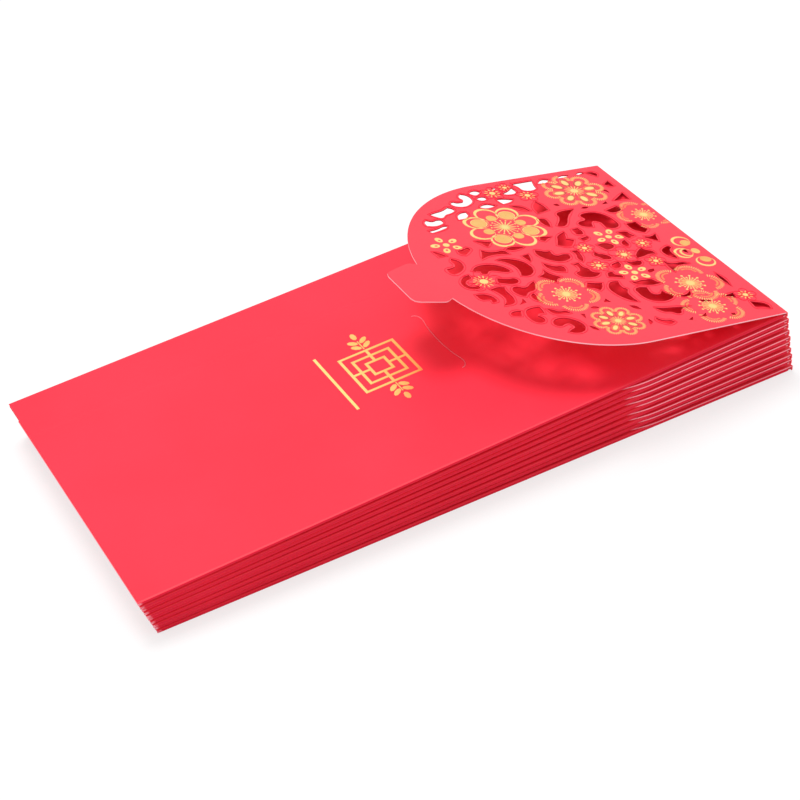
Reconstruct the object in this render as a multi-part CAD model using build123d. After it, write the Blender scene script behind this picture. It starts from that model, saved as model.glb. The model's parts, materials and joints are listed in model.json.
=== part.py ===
from build123d import *
import math
import os

# Card and envelope, in millimetres
LENGTH = 175.0
WIDTH = 85.0
CARD = 0.3
POCKET = 0.4
GLUE = 0.05
MOUTH_SETBACK = 1.0
CUT_EDGE_SETBACK = 0.3
FOLD_CORNER_GAP = 0.2
SIDE_FLAP_WIDTH = 15.6
BOTTOM_FLAP_WIDTH = 14.0
GLUE_FLAP_SLOPE = 5.0
GLUE_MARGIN = 2.0
CORNER_STOP = 7.7
FOLD_STEPS = 4

# Closure flap and its lock tab
FLAP_LENGTH = 77.0
FLAP_STRAIGHT = 40.0
FLAP_REST_ANGLE = 13.35
FLAP_GAP = 0.1
CREASE_GAP = 0.1
TAB_REACH = 9.0
TAB_NECK = 17.5
TAB_WIDTH = 20.0
TAB_TIP_WIDTH = 14.6
TAB_SHOULDER = 1.3
TAB_TIP_ROUND = 2.2
TAB_EASE = 0.8
ROUND_STEPS = 16

# Slit in the front panel that takes the tab
SLIT_INSET = 3.05
SLIT_SIDE_ROOM = 0.6
SLIT_BOW = 0.95
SLIT_HOOK = 1.65
SLIT_HOOK_REACH = 2.4
BOW_STEPS = 6
HOOK_STEPS = 3
KERF = 0.15

# Stamped foil
FOIL = 0.03
EMBLEM_CENTRE = -4.4
EMBLEM_SIZE = 15.0
EMBLEM_BAR = 0.75
LATTICE_SQUARES = 3
SPRIG_LENGTH = 6.0
STEM = 0.3
LEAF_LENGTH = 2.9
LEAF_WIDTH = 1.5
LEAF_LEAN = 50.0
PLATE_CORNERS = 8
RULE_OFFSET = 12.3
RULE_LENGTH = 24.0

# The pack
ENVELOPES = 10
BOTTOM_GAP = 0.21
FLAP_CLEARANCE = 0.24
LEAN_BACK = 0.369
LEAN_NEAR = 0.115
STRAY = 0.2
STRAY_STEP = 2.1

# Worked out from the sizes above
DEPTH = 2 * CARD + POCKET
HALF_LENGTH = LENGTH / 2
HALF_WIDTH = WIDTH / 2
NEAR_FOLD_RADIUS = DEPTH / 2
GLUED_TOP = DEPTH - CARD - GLUE
GLUED_FOLD_RADIUS = GLUED_TOP / 2
AXIS_X = HALF_LENGTH - CARD / 2
AXIS_Z = DEPTH + FLAP_GAP + CARD / 2
ROOT_X = -(CARD / 2 + CREASE_GAP)
TAB_TIP_X = -(FLAP_LENGTH + TAB_REACH)
SLIT_X = AXIS_X - FLAP_LENGTH + SLIT_INSET
RISE_PER_MM = (FLAP_GAP + CARD + FLAP_CLEARANCE - BOTTOM_GAP) / (HALF_LENGTH + AXIS_X + TAB_TIP_X)
FAN_STEP = math.degrees(math.atan(RISE_PER_MM))

# The lace is stretched to leave these bands of whole card at the sides and at the round end, and
# then drawn a little nearer to the near side
FLAP_RIM = 1.2
FLAP_END_BAND = 6.5
LACE_DRIFT = 1.0
CORNER_EASE = 0.18

# Windows between the scrolls, the largest ones first. A corner is given by its distance from the
# crease and from the centre line.
LARGE_WINDOWS = [
    [(21.5, 19), (19.2, 19.9), (16.7, 19.3), (14.9, 17.1), (14.3, 14), (14.8, 11.2), (16.7, 10.4),
     (18.6, 11), (18.3, 12.8), (18.4, 14.3), (20, 15.6), (21.1, 14.6), (21.8, 12.8), (23.3, 13.3),
     (24.6, 14.9), (24, 15.9), (21.4, 16.8)],
    [(30, -19.1), (30.4, -21), (30.2, -23.4), (29, -25.4), (27.2, -26.3), (24.8, -26.1),
     (23.2, -25.3), (22.8, -24.4), (23.8, -23.4), (24.2, -22), (25.6, -23.2), (26.8, -23),
     (27.5, -21.9), (27.3, -20.4), (27, -19.3), (28.5, -18.7)],
    [(55.8, 5.2), (53.8, 5), (51.9, 4.1), (50.1, 2.3), (49.4, 0), (49.7, -2), (50.8, -3.5),
     (52.3, -4.2), (54, -3.8), (53.3, -2.4), (52.9, -0.4), (53.1, 1.3), (53.9, 3)],
    [(64.7, 2.2), (62.8, 3.6), (60.8, 4), (58.6, 3.5), (57, 2.4), (55.9, 0.8), (55.5, -0.9),
     (56.4, -0.9), (57.6, -0.4), (59.2, 0.6), (60.6, 1), (62.2, -0.1), (63, 0.3), (62.8, 1.4)],
    [(21.1, 22.8), (26.2, 22.5), (27.2, 21.7), (27.5, 19.9), (30.6, 16), (29.4, 15.5), (27.5, 16.6),
     (25.6, 19.3), (23.6, 21.3)],
    [(43.7, 6.4), (44.2, 4.6), (43.7, 2.6), (42.4, 0.8), (40.4, -0.6), (38.4, -0.5), (37, 0.4),
     (36.6, 1.8), (37.8, 2.2), (39.4, 2), (40.4, 2.8), (40.4, 4.8), (41.6, 4.9), (42.6, 5.7)],
    [(65, -7.4), (62.9, -7), (61.4, -7.5), (61.9, -8.9), (61.9, -11), (62.1, -13), (63.2, -14.9),
     (66.1, -15.1), (64.7, -14.2), (64, -13), (63.8, -11), (64.2, -9)],
    [(32.3, -14.2), (33.8, -14), (35.2, -14.9), (36.2, -16.7), (36.2, -19), (35.6, -21.2),
     (34.4, -23.3), (33.2, -24.5), (33.4, -21.9), (33.2, -19.8), (32.3, -18.3), (32.9, -17.2),
     (32.6, -15.7)],
    [(58.9, -27.5), (58.7, -25.9), (57, -24.9), (55.1, -25.2), (53.6, -26.5), (52.6, -28.5),
     (52.6, -30.1), (53.3, -31.3), (54.3, -32), (56.1, -32), (57.5, -31.1), (56.4, -30.5),
     (55.1, -29.9), (55, -28.5), (55.6, -27.6), (56.7, -27.6), (57.7, -28)],
    [(63.2, -22), (62.9, -20.5), (61.9, -19), (60.4, -18.5), (58.2, -18.5), (58.4, -20.2),
     (58.7, -21.6), (60.2, -21.3), (60.9, -22.1), (60.3, -23), (60.3, -24.4), (61.2, -25.1),
     (62.5, -24.7)],
    [(59.8, -9), (58.4, -8.2), (57.7, -8.6), (57, -9.2), (55.6, -9.2), (54.2, -8.2), (52.8, -7.4),
     (53.4, -8.9), (54.2, -10.2), (55.2, -11.1), (56.8, -11.4), (58.6, -13), (59.6, -11.8)],
    [(66.7, 9.4), (65.6, 8), (65.4, 6.4), (66, 4.6), (67.6, 3.1), (69.9, 2.2), (70.4, 3), (70.3, 5),
     (68.6, 5.2), (67.7, 5.6), (67.1, 6.8), (67.2, 8.2)],
    [(46.2, 40), (45, 38.8), (44.8, 36.7), (45.4, 35.3), (46.7, 34.2), (48.6, 33.5), (50.4, 34),
     (51.3, 35.1), (51.2, 36.1), (50.4, 36.5), (49.7, 35.9), (48.7, 35.7), (47.6, 35.9), (47.1, 37),
     (47.4, 37.8), (47, 39.2)],
    [(59.9, 32.2), (58, 32.6), (55.6, 33.1), (53.4, 34.2), (52.6, 33.2), (52.6, 32.4), (54, 31.4),
     (56, 30.9), (57.8, 29.7), (58.8, 30.6)],
    [(29.6, 40.8), (23.1, 40.9), (24, 38.8), (24.7, 36.6), (28.2, 36.8), (28.6, 38.9)],
    [(39.9, -7.4), (38.4, -6.6), (37.7, -5.3), (37.7, -3.7), (38.3, -3.1), (36.6, -2.9), (36.7, -5),
     (35.9, -6.3), (35.8, -7.8), (34.2, -9.1), (35.4, -9.9), (37, -10.1), (38.8, -9.6),
     (39.8, -8.6)],
]
SMALL_WINDOWS = [
    [(35.1, 36.6), (32.6, 37.6), (30.9, 38.9), (31.1, 36.4), (33.6, 35.9)],
    [(22.4, 38.9), (20, 40.6), (18.4, 40.1), (19.8, 38.9)],
    [(15.6, 40.2), (13.2, 41.1), (11.4, 40.6), (12.9, 40.1)],
    [(9, 40.6), (7.2, 41.3), (6.3, 40.8), (7.6, 40)],
    [(5.6, 40.4), (4.2, 40.3), (3.2, 39), (3.8, 37.9), (4.6, 39.2)],
    [(4.6, 32.9), (2.7, 34.3), (2.7, 31.4), (3.9, 31.6)],
    [(7.3, 30.3), (6.4, 29.9), (6.1, 28)],
    [(7.7, 23.7), (4.8, 25.5), (2.8, 27.1), (3, 23.4), (5.4, 23.8)],
    [(13, 19.5), (10.9, 20), (8.9, 20.7), (8.6, 19.3), (10.8, 18), (12.4, 18.3)],
    [(12, 22.9), (10.1, 24), (10.4, 22.9)],
    [(19, 22.7), (17.7, 23.1), (16.6, 22.8), (17.8, 22.3)],
    [(25, 26.9), (23.9, 26.9), (23.7, 26), (24.6, 26)],
    [(28.8, 30), (28.2, 27), (28.2, 24.7), (31.8, 23.9), (31.1, 27.1)],
    [(36.5, 29.6), (34.2, 28.4), (33.2, 25.8), (35.1, 27)],
    [(33.5, 20.9), (32.2, 20.5), (32, 19), (32.8, 16.4), (33.5, 17.6)],
    [(28.3, 10.5), (28.1, 13), (26.3, 13.3), (26.3, 10.9), (27, 10.1)],
    [(30.9, 12.6), (32, 10.4), (32.5, 9.2), (30.9, 8.1), (32, 6.8), (33.9, 5.4), (36.4, 7),
     (34.8, 9.3), (33.8, 11)],
    [(28.8, 8), (26.3, 8.6), (26.5, 7.8), (28.5, 6.7)],
    [(12.2, 11.2), (9.2, 11.4), (9, 8.7), (8.3, 7.1), (10.1, 5.7), (12, 7.7)],
    [(36.4, 40.5), (35.3, 40.4), (35.7, 39.4)],
    [(43.5, 39.5), (42.7, 40.3), (41.2, 40.3), (40.5, 39.5), (41.6, 38.6), (42.6, 38.3)],
    [(43.3, 36.2), (42.3, 36.7), (41, 36.5), (40.8, 35.9), (41.7, 35), (42.8, 35.3)],
    [(38.3, 34.3), (36.5, 33.9), (34.1, 32.8), (35.4, 32.1), (37.9, 31.5), (38.1, 32.6)],
    [(44.9, 31.7), (43.9, 32.4), (42, 32.4), (40.6, 31.2), (42.3, 30.8), (44.1, 31)],
    [(53.9, 27.4), (53.2, 29), (51.7, 30.3), (50.1, 30.5), (50.4, 29), (52, 27.6)],
    [(62.5, 29.6), (61.2, 28.6), (59.6, 28.9), (58.7, 28.7), (58.8, 27.4), (60.2, 26.5),
     (61.8, 26.3), (63.6, 27), (63.3, 28.7)],
    [(64.7, 24.1), (62, 24.5), (59.6, 25.3), (58.9, 25.3), (59.4, 24.6), (62.4, 23.6),
     (64.3, 23.2)],
    [(62.9, 12.5), (61.2, 12.7), (59.9, 13.2), (59.5, 12.6), (60.9, 11), (62.2, 10.1),
     (62.9, 10.9)],
    [(69.2, 14.2), (68.2, 13), (67.2, 11.2), (69, 11.2)],
    [(56, 15.6), (54.5, 14.9), (52.4, 13.7), (53.4, 13.1), (54.3, 12), (55.1, 14)],
    [(57, 10.8), (56, 9.6), (54, 8.9), (51.6, 8.7), (51.1, 7.1), (53, 7.6), (56, 7.9), (59.4, 6.8),
     (58.2, 8.2)],
    [(50.6, 9.4), (49.2, 9.8), (47.6, 9.7), (45.6, 8.8), (47.6, 8.5), (49.5, 8.6)],
    [(38.4, 12.2), (35.6, 11.3), (37.6, 10.7), (38.4, 10), (39.1, 11)],
    [(48.4, 4.9), (46.6, 5.2), (47.2, 3.3), (47.9, 1.6)],
    [(34.6, 3), (33.3, 2.9), (33.5, 1.2), (34.2, -1.2), (34.9, -2.5), (35.2, -0.7), (34.5, 0.9)],
    [(45.4, -0.1), (44.2, -1.8), (43.2, -2.6), (41.7, -3), (41.6, -4.4), (42.2, -5.6), (43.6, -5),
     (44.9, -3.8), (45.5, -2)],
    [(49.8, -5.6), (47.9, -4.8), (47.2, -3), (46.8, -5.2), (44.9, -7.7), (46.6, -8.3), (47.3, -9.6),
     (47.9, -8.3)],
    [(60.6, -3.2), (59.2, -3.9), (58.2, -4.3), (56.5, -4.6), (56.4, -5.9), (58.2, -6.6),
     (60.1, -5.7), (61.2, -5)],
    [(66.8, 0.7), (68.4, 0), (70, -1.4), (70.5, -3), (70, -5), (68.4, -5.9), (67.2, -5.8),
     (67.1, -4.8), (68.9, -4.8), (69.6, -3.8), (69.5, -2.4), (68.4, -1.3), (67.1, -0.9)],
    [(70, -8.4), (68.4, -8.8), (67.2, -9.6), (66.5, -11.2), (66.8, -12.8), (67.9, -13),
     (67.5, -11.7), (68.6, -11.2), (69.6, -11)],
    [(57, -13.2), (56, -12.5), (56.2, -14.5), (56.4, -16.7), (57, -15.5)],
    [(66.4, -19.1), (64.2, -18.6), (63.7, -18.8), (64.7, -20.8), (66.7, -20)],
    [(56.8, -20), (56.2, -22.6), (54.2, -23.2), (52.4, -23.5), (53, -22.5), (54.8, -22.1),
     (55.8, -21)],
    [(50.2, -24.7), (49.5, -25.2), (50.2, -27.2)],
    [(51.4, -30.3), (50.5, -31.4), (50.2, -33), (51.2, -31.8)],
    [(46.3, -23.2), (45.4, -22.9), (44, -23.6), (45.2, -23.8)],
    [(41.4, -21.8), (40.2, -20.6), (39.8, -22.3)],
    [(41.5, -14.3), (40, -12.4), (37.9, -13.4), (36.7, -13.6), (38, -15.6), (39, -16.5),
     (39.8, -15.2)],
    [(36.4, -25.3), (35.1, -26.1), (34.5, -28), (35.6, -27.2)],
    [(33.5, -32.6), (32.9, -33.8), (31.8, -34.6), (30.6, -35), (30.2, -35.8), (31.6, -36.2),
     (33, -35.2), (33.8, -33.6)],
    [(36.7, -34.8), (35.5, -33.9), (35.6, -32.5), (36.3, -33.8)],
    [(17.2, 7.7), (14.8, 7.4), (14.6, 6.3), (14, 5), (16.2, 4.3), (16.5, 5.6)],
    [(18, 3.7), (18.3, 1.3), (19.2, 0.3), (19.6, 1.3), (19.1, 3)],
    [(26.4, 3.7), (24.2, 3.9), (22.8, 3), (22.6, 2), (23.6, 1.1), (25.3, 0.8), (25.9, 2.4)],
    [(11.7, 3.6), (10.1, 3.1), (7.9, 4), (8.8, 2.4), (9.4, 0.6), (10.5, 1.9), (11.5, 2.8)],
    [(30.2, -0.9), (29.2, 0.6), (28.8, -0.6), (28, -1), (26.8, -3), (27.2, -3.7), (28.9, -3.2),
     (29.6, -1.6)],
    [(17.4, -2.2), (16.2, -1.5), (15.7, -2.6), (14.4, -3.8), (14.3, -5), (16, -4.6), (18, -5.1),
     (20.3, -5.5), (19.4, -4), (18.4, -3.1)],
    [(24.1, -6.3), (23.3, -7), (21.8, -7), (20.4, -7.3), (20.9, -8.2), (22, -8.8), (23.6, -8.3)],
    [(29, -6.9), (27.4, -6), (26.3, -5.7), (26.7, -7.4), (27.8, -8.2), (29, -8.3)],
    [(33, -11.5), (32, -9.8), (30.9, -9.8), (31, -11), (29.6, -12.1), (29.8, -13), (31.2, -12.2)],
    [(28.8, -15.5), (27.9, -16), (26.4, -15.8), (25.1, -15.9), (23.4, -16.2), (22.8, -17.6),
     (22, -18.4), (24.5, -18.5), (27.3, -17.5), (28.3, -17.2)],
    [(21.6, -12.2), (19.5, -11.7), (19.9, -12.4), (21.8, -13)],
    [(21.6, -25.5), (19.5, -25.6), (17.3, -24.4), (18.4, -25.9), (20.4, -26.2)],
    [(17.7, -28.9), (16.4, -29.4), (14.6, -30.2), (16, -30.1), (17.4, -29.7)],
    [(8.7, -2.8), (8.4, -3.4), (9.5, -4.4), (10, -6), (10, -7.9), (10.1, -9), (11.2, -7.8),
     (11.8, -6.3), (11.6, -4.4), (10.1, -3.2)],
    [(5.9, -5.2), (5.3, -5.5), (5.7, -7.6), (6.2, -6.6)],
    [(14.6, -9.2), (14, -10.6), (12.3, -11.2), (10.4, -11.3), (9, -12.3), (10.6, -12.1),
     (12.6, -12.3), (14.2, -13.5), (14.9, -14.7), (15, -13.2), (14.9, -11.2)],
    [(5.4, -18.7), (5, -22), (5.4, -25.5), (5.8, -22)],
    [(10.7, -29.3), (9.5, -29.3), (7.4, -28.8), (7.9, -30.8), (9.2, -29.9)],
    [(5.7, -33.9), (4.5, -34.6), (2.5, -36.5), (2.8, -38.3), (4.2, -37.5), (6, -36.8),
     (5.8, -35.4)],
    [(14, -37), (13.2, -37.2), (13.4, -38.1), (14.1, -37.8)],
    [(22.2, -35.9), (20, -34.8), (21, -36.2)],
    [(26.1, -36.2), (24.4, -35.3), (25.3, -36.5)],
    [(30.9, -28.5), (28.9, -29.3), (25.6, -30), (22, -31), (25, -31.2), (25.9, -32.5), (27, -32.6),
     (28, -31.5), (29.6, -30.8), (30.3, -29.7)],
    [(62.3, -16), (60.9, -15.2), (60, -13.8), (60.1, -15.6)],
]

# The closed flaps inside the pack keep only their largest windows
CLOSED_FLAP_WINDOWS = 3

# Stretch of the lace, from how far its windows reach
CORNERS = [corner for corners in LARGE_WINDOWS + SMALL_WINDOWS for corner in corners]
STRETCH_ALONG = (FLAP_LENGTH - FLAP_END_BAND) / max(along for along, across in CORNERS)
STRETCH_ACROSS = (HALF_WIDTH - FLAP_RIM) / max(abs(across) for along, across in CORNERS)

# Foil flowers between the windows: along, across, radius, turn
ROSETTE_PETALS = 8
ROSETTES = [(44.5, 19.9, 10.4, 10), (15, 32.1, 8.4, 0), (43.3, -30.7, 6.4, 0)]
BLOSSOM_PETALS = 5
BLOSSOMS = [(64.2, 16.2, 3.9, 100), (21, 6.6, 3.9, 54), (25.4, -11.8, 3.9, 90)]
PETAL_PLACE = 0.62
PETAL_LONG = 0.4
PETAL_WIDE = 0.28
FLOWER_EYE = 0.34


def arc_points(centre, radius, start, end, steps):
    """Points along an arc, with its angles in degrees."""
    points = []
    for step in range(steps + 1):
        angle = math.radians(start + (end - start) * step / steps)
        points.append((centre[0] + radius * math.cos(angle), centre[1] + radius * math.sin(angle)))
    return points


def filled(points):
    """A flat face inside a closed row of points."""
    return make_face(Polyline(*points, close=True))


def eased(corners, share, reach=math.inf):
    """Cut each corner off a closed outline, by a share of its sides but no further than reach."""
    points = []
    for place, corner in enumerate(corners):
        for other in (corners[place - 1], corners[(place + 1) % len(corners)]):
            part = min(share, reach / math.dist(corner, other))
            points.append(tuple(here + part * (there - here) for here, there in zip(corner, other)))
    return points


def on_flap(along, across):
    """A place in the lace, measured from the middle of the crease."""
    return -along * STRETCH_ALONG, across * STRETCH_ACROSS - LACE_DRIFT


def window(corners):
    """One window of the lace, with its corners as drawn."""
    return Wire.make_polygon([on_flap(*corner) for corner in corners])


def lace_windows():
    """Every window of the pierced flap, with eased corners."""
    return [window(eased(corners, CORNER_EASE)) for corners in LARGE_WINDOWS + SMALL_WINDOWS]


def flap_outline():
    """The flap's edge: straight sides, an elliptic round end, and the lock tab."""
    round_length = FLAP_LENGTH - FLAP_STRAIGHT
    neck_turn = math.degrees(math.acos(TAB_NECK / WIDTH))
    turns = arc_points((0, 0), 1, 90, 90 + neck_turn, ROUND_STEPS)
    edge = [(ROOT_X, HALF_WIDTH)]
    edge += [(-FLAP_STRAIGHT + round_length * x, HALF_WIDTH * y) for x, y in turns]
    tip_slope = (TAB_WIDTH - TAB_TIP_WIDTH) / 2 / (TAB_REACH - TAB_SHOULDER)
    tab = [
        edge[-1],
        (-FLAP_LENGTH - TAB_SHOULDER, TAB_WIDTH / 2),
        (TAB_TIP_X + TAB_TIP_ROUND, TAB_TIP_WIDTH / 2 + tip_slope * TAB_TIP_ROUND),
        (TAB_TIP_X, TAB_TIP_WIDTH / 2 - TAB_TIP_ROUND),
    ]
    tab += [(x, -y) for x, y in reversed(tab)]
    edge += eased(tab, CORNER_EASE, TAB_EASE)[2:len(tab)]
    return Wire.make_polygon(edge + [(x, -y) for x, y in reversed(edge)])


def flap_sheet(windows):
    """The flap as a flat sheet about the crease, with its windows cut through."""
    sheet = Pos(0, 0, -CARD / 2) * Face(flap_outline(), windows)
    return extrude(sheet, CARD, dir=(0, 0, 1))


def flap_place(open_angle):
    """Where the flap hangs on the envelope when it is raised by an angle."""
    return Pos(AXIS_X, 0, AXIS_Z) * Rot(0, open_angle, 0)


def mouth_crease():
    """The spine at the mouth, rounded under the back panel and along the crease."""
    profile = [(-CARD, 0)]
    profile += arc_points((-CARD / 2, AXIS_Z), CARD / 2, 180, 0, FOLD_STEPS)
    profile += arc_points((-CARD, CARD), CARD, 0, -90, FOLD_STEPS)[:-1]
    spine = extrude(Plane.XZ * filled(profile), WIDTH / 2, both=True)
    return Pos(HALF_LENGTH, 0, 0) * spine


def back_panel():
    """The sheet underneath, between the folds."""
    start_x = -HALF_LENGTH + GLUED_FOLD_RADIUS
    start_y = -HALF_WIDTH + NEAR_FOLD_RADIUS
    length = HALF_LENGTH - CARD - start_x
    width = HALF_WIDTH - GLUED_FOLD_RADIUS - start_y
    return Pos(start_x, start_y, 0) * Box(length, width, CARD, align=Align.MIN)


def ribbon(points, width):
    """A narrow face along an open row of points."""
    left, right = [], []
    for place, (x, y) in enumerate(points):
        before = points[max(place - 1, 0)]
        after = points[min(place + 1, len(points) - 1)]
        share = width / 2 / math.dist(before, after)
        shift_x = (before[1] - after[1]) * share
        shift_y = (after[0] - before[0]) * share
        left.append((x + shift_x, y + shift_y))
        right.append((x - shift_x, y - shift_y))
    return filled(left + right[::-1])


def slit():
    """The narrow cut that takes the tab, bowed and hooked towards the bottom end."""
    half = TAB_WIDTH / 2 + SLIT_SIDE_ROOM
    upper = []
    for step in range(BOW_STEPS // 2):
        share = 2 * step / BOW_STEPS
        upper.append((SLIT_X - SLIT_BOW * (1 - share ** 2), half * share))
    for x, y in arc_points((0, 0), 1, 0, 90, HOOK_STEPS):
        upper.append((SLIT_X - SLIT_HOOK * (1 - x), half + SLIT_HOOK_REACH * y))
    lower = [(x, -y) for x, y in upper[:0:-1]]
    return ribbon(lower + upper, KERF)


def front_panel():
    """The upper sheet, cut back at the mouth and slit for the tab."""
    start_x = -HALF_LENGTH + CUT_EDGE_SETBACK
    start_y = -HALF_WIDTH + NEAR_FOLD_RADIUS
    length = HALF_LENGTH - CARD - MOUTH_SETBACK - start_x
    width = HALF_WIDTH - CUT_EDGE_SETBACK - start_y
    sheet = Pos(start_x, start_y) * Rectangle(length, width, align=Align.MIN)
    return Pos(0, 0, DEPTH - CARD) * extrude(sheet - slit(), CARD)


def fold(radius, length):
    """A fold that turns the card right over, bulging towards -X and running along Y."""
    outer = arc_points((0, radius), radius, 270, 90, FOLD_STEPS)
    inner = arc_points((0, radius), radius - CARD, 90, 270, FOLD_STEPS)
    return extrude(Plane.XZ * filled(outer + inner), length, dir=(0, 1, 0))


def near_fold():
    """The rounded long edge between the back and the front panel."""
    length = LENGTH - CARD - MOUTH_SETBACK
    edge = Pos(HALF_LENGTH - CARD - MOUTH_SETBACK, -HALF_WIDTH + NEAR_FOLD_RADIUS, 0)
    return edge * Rot(0, 0, 90) * fold(NEAR_FOLD_RADIUS, length)


def glue_strip(length, width, start_slope, end_slope):
    """A strip with sloped ends, from the origin along Y and inwards along X."""
    return filled([(0, 0), (width, start_slope), (width, length - end_slope), (0, length)])


def glue_flap(length, width, *slopes):
    """A fold along Y with a strip of card that lies inside under the front panel."""
    strip = Pos(0, 0, GLUED_TOP - CARD) * extrude(glue_strip(length, width, *slopes), CARD)
    return fold(GLUED_FOLD_RADIUS, length) + strip


def glue_line(length, width, *slopes):
    """The film of glue on top of a glue flap's strip."""
    film = offset(glue_strip(length, width, *slopes), -GLUE_MARGIN, kind=Kind.INTERSECTION)
    return Pos(0, 0, GLUED_TOP) * extrude(film, GLUE)


def side_seam(piece):
    """Put a seam piece along the far long edge, mitred where it meets the bottom flap."""
    length = LENGTH - CARD - MOUTH_SETBACK - GLUED_FOLD_RADIUS - FOLD_CORNER_GAP
    seam = piece(length, SIDE_FLAP_WIDTH, SIDE_FLAP_WIDTH, GLUE_FLAP_SLOPE)
    start_x = -HALF_LENGTH + GLUED_FOLD_RADIUS + FOLD_CORNER_GAP
    return Pos(start_x, HALF_WIDTH - GLUED_FOLD_RADIUS, 0) * Rot(0, 0, -90) * seam


def bottom_seam(piece):
    """Put a seam piece along the bottom end, mitred where it meets the side flap."""
    start_y = -HALF_WIDTH + NEAR_FOLD_RADIUS + FOLD_CORNER_GAP
    end_y = HALF_WIDTH - CORNER_STOP
    seam = piece(end_y - start_y, BOTTOM_FLAP_WIDTH, GLUE_FLAP_SLOPE, BOTTOM_FLAP_WIDTH)
    return Pos(-HALF_LENGTH + GLUED_FOLD_RADIUS, start_y, 0) * seam


def oval(long, wide):
    """A small oval plate outline with a few corners."""
    corners = arc_points((0, 0), 1, 0, 360, PLATE_CORNERS)[:-1]
    return filled([(x * long / 2, y * wide / 2) for x, y in corners])


def foil_sprig(side):
    """A stem with leaves in pairs, growing out of one side of the emblem."""
    start = side * (EMBLEM_SIZE / 2 + EMBLEM_BAR)
    leaf = oval(LEAF_WIDTH, LEAF_LENGTH)
    stem_length = SPRIG_LENGTH - LEAF_LENGTH / 2 - EMBLEM_BAR
    sprig = [Pos(0, start + side * stem_length / 2) * Rectangle(STEM, stem_length)]
    sprig.append(Pos(0, start + side * SPRIG_LENGTH) * leaf)
    for share in (0.25, 0.6):
        for lean in (-1, 1):
            root = Pos(lean * LEAF_LENGTH / 2, start + side * share * SPRIG_LENGTH)
            sprig.append(root * Rot(0, 0, -side * lean * LEAF_LEAN) * leaf)
    return sprig


def emblem_foil():
    """A window lattice of nested squares with two sprigs, and a plain rule beside it."""
    half = EMBLEM_SIZE / 2
    bar_length = half - half / LATTICE_SQUARES
    lattice = Sketch()
    for number in range(1, LATTICE_SQUARES + 1):
        reach = half * number / LATTICE_SQUARES
        corners = [(-reach, -reach), (reach, -reach), (reach, reach), (-reach, reach)]
        lattice += trace(Polyline(*corners, close=True), EMBLEM_BAR)
    for quarter in range(4):
        bar = Pos(half - bar_length / 2, 0) * Rectangle(bar_length, EMBLEM_BAR)
        lattice += Rot(0, 0, 90 * quarter) * bar
    rule = Pos(-RULE_OFFSET, 0) * Rectangle(EMBLEM_BAR, RULE_LENGTH)
    stamped = [*lattice.faces(), rule, *foil_sprig(1), *foil_sprig(-1)]
    plates = [extrude(shape, FOIL) for shape in stamped]
    return [Pos(EMBLEM_CENTRE, 0, DEPTH) * plate for plate in plates]


def flap_foil():
    """Petals and eyes of the gold flowers, stamped on the upper side of the flap."""
    flowers = [(ROSETTE_PETALS, *rosette) for rosette in ROSETTES]
    flowers += [(BLOSSOM_PETALS, *blossom) for blossom in BLOSSOMS]
    plates = []
    for petals, along, across, radius, turn in flowers:
        reach = radius * STRETCH_ALONG
        centre = Pos(*on_flap(along, across), CARD / 2)
        petal = oval(reach * PETAL_LONG, reach * PETAL_WIDE)
        plates.append(centre * extrude(oval(reach * FLOWER_EYE, reach * FLOWER_EYE), FOIL))
        for step in range(petals):
            spoke = Rot(0, 0, turn + 360 * step / petals) * Pos(reach * PETAL_PLACE, 0)
            plates.append(centre * spoke * extrude(petal, FOIL))
    return plates


def envelope_place(index):
    """Where an envelope lies in the pack, counted from the lowest."""
    bottom_end = Pos(
        -HALF_LENGTH - LEAN_BACK * index,
        -LEAN_NEAR * index + STRAY * math.sin(STRAY_STEP * index),
        (DEPTH + BOTTOM_GAP) * index,
    )
    return bottom_end * Rot(0, -FAN_STEP * index, 0) * Pos(HALF_LENGTH, 0, 0)


def envelope_shell():
    """The pieces that every envelope has around its pocket."""
    return {
        "back_panel": [back_panel()],
        "front_panel": [front_panel()],
        "near_fold": [near_fold()],
    }


def closed_envelope():
    """An envelope inside the pack, with its flap closed."""
    pieces = envelope_shell()
    pieces["glue_flaps"] = [
        side_seam(glue_flap),
        bottom_seam(glue_flap),
        side_seam(glue_line),
        bottom_seam(glue_line),
    ]
    windows = [window(corners) for corners in LARGE_WINDOWS[:CLOSED_FLAP_WINDOWS]]
    pieces["closure_flap"] = [flap_place(0) * flap_sheet(windows), mouth_crease()]
    return pieces


def open_envelope():
    """The top envelope, every piece apart, with its flap raised."""
    raised = flap_place(FLAP_REST_ANGLE)
    pieces = envelope_shell()
    pieces["side_glue_flap"] = [side_seam(glue_flap)]
    pieces["bottom_glue_flap"] = [bottom_seam(glue_flap)]
    pieces["side_glue_line"] = [side_seam(glue_line)]
    pieces["bottom_glue_line"] = [bottom_seam(glue_line)]
    pieces["mouth_crease"] = [mouth_crease()]
    pieces["closure_flap"] = [raised * flap_sheet(lace_windows())]
    pieces["flap_foil"] = [raised * plate for plate in flap_foil()]
    pieces["emblem_foil"] = emblem_foil()
    return pieces


def write_envelope(index, pieces):
    """Put an envelope's pieces in the pack and write each of them to its own file."""
    place = envelope_place(index)
    for name, shapes in pieces.items():
        solids = [solid for shape in shapes for solid in (place * shape).solids()]
        node = Compound(solids) if len(solids) > 1 else solids[0]
        export_step(node, f"parts/envelope_{index + 1:02d}_{name}.step")


os.makedirs("parts", exist_ok=True)
closed = closed_envelope()
for number in range(ENVELOPES - 1):
    write_envelope(number, closed)
write_envelope(ENVELOPES - 1, open_envelope())
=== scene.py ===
# %% [markdown]
# # A pack of red envelopes with lace flaps
# Ten envelopes of thin red card lie in a pack, fanned up at the mouth end, and the top one has its
# pierced flap raised. The solids already stand in the shared frame, in metres, so this lesson only
# dresses them: card with a pale cut edge, smooth lace, stamped gold foil, soft light and a camera.

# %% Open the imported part
import json
import math

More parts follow.
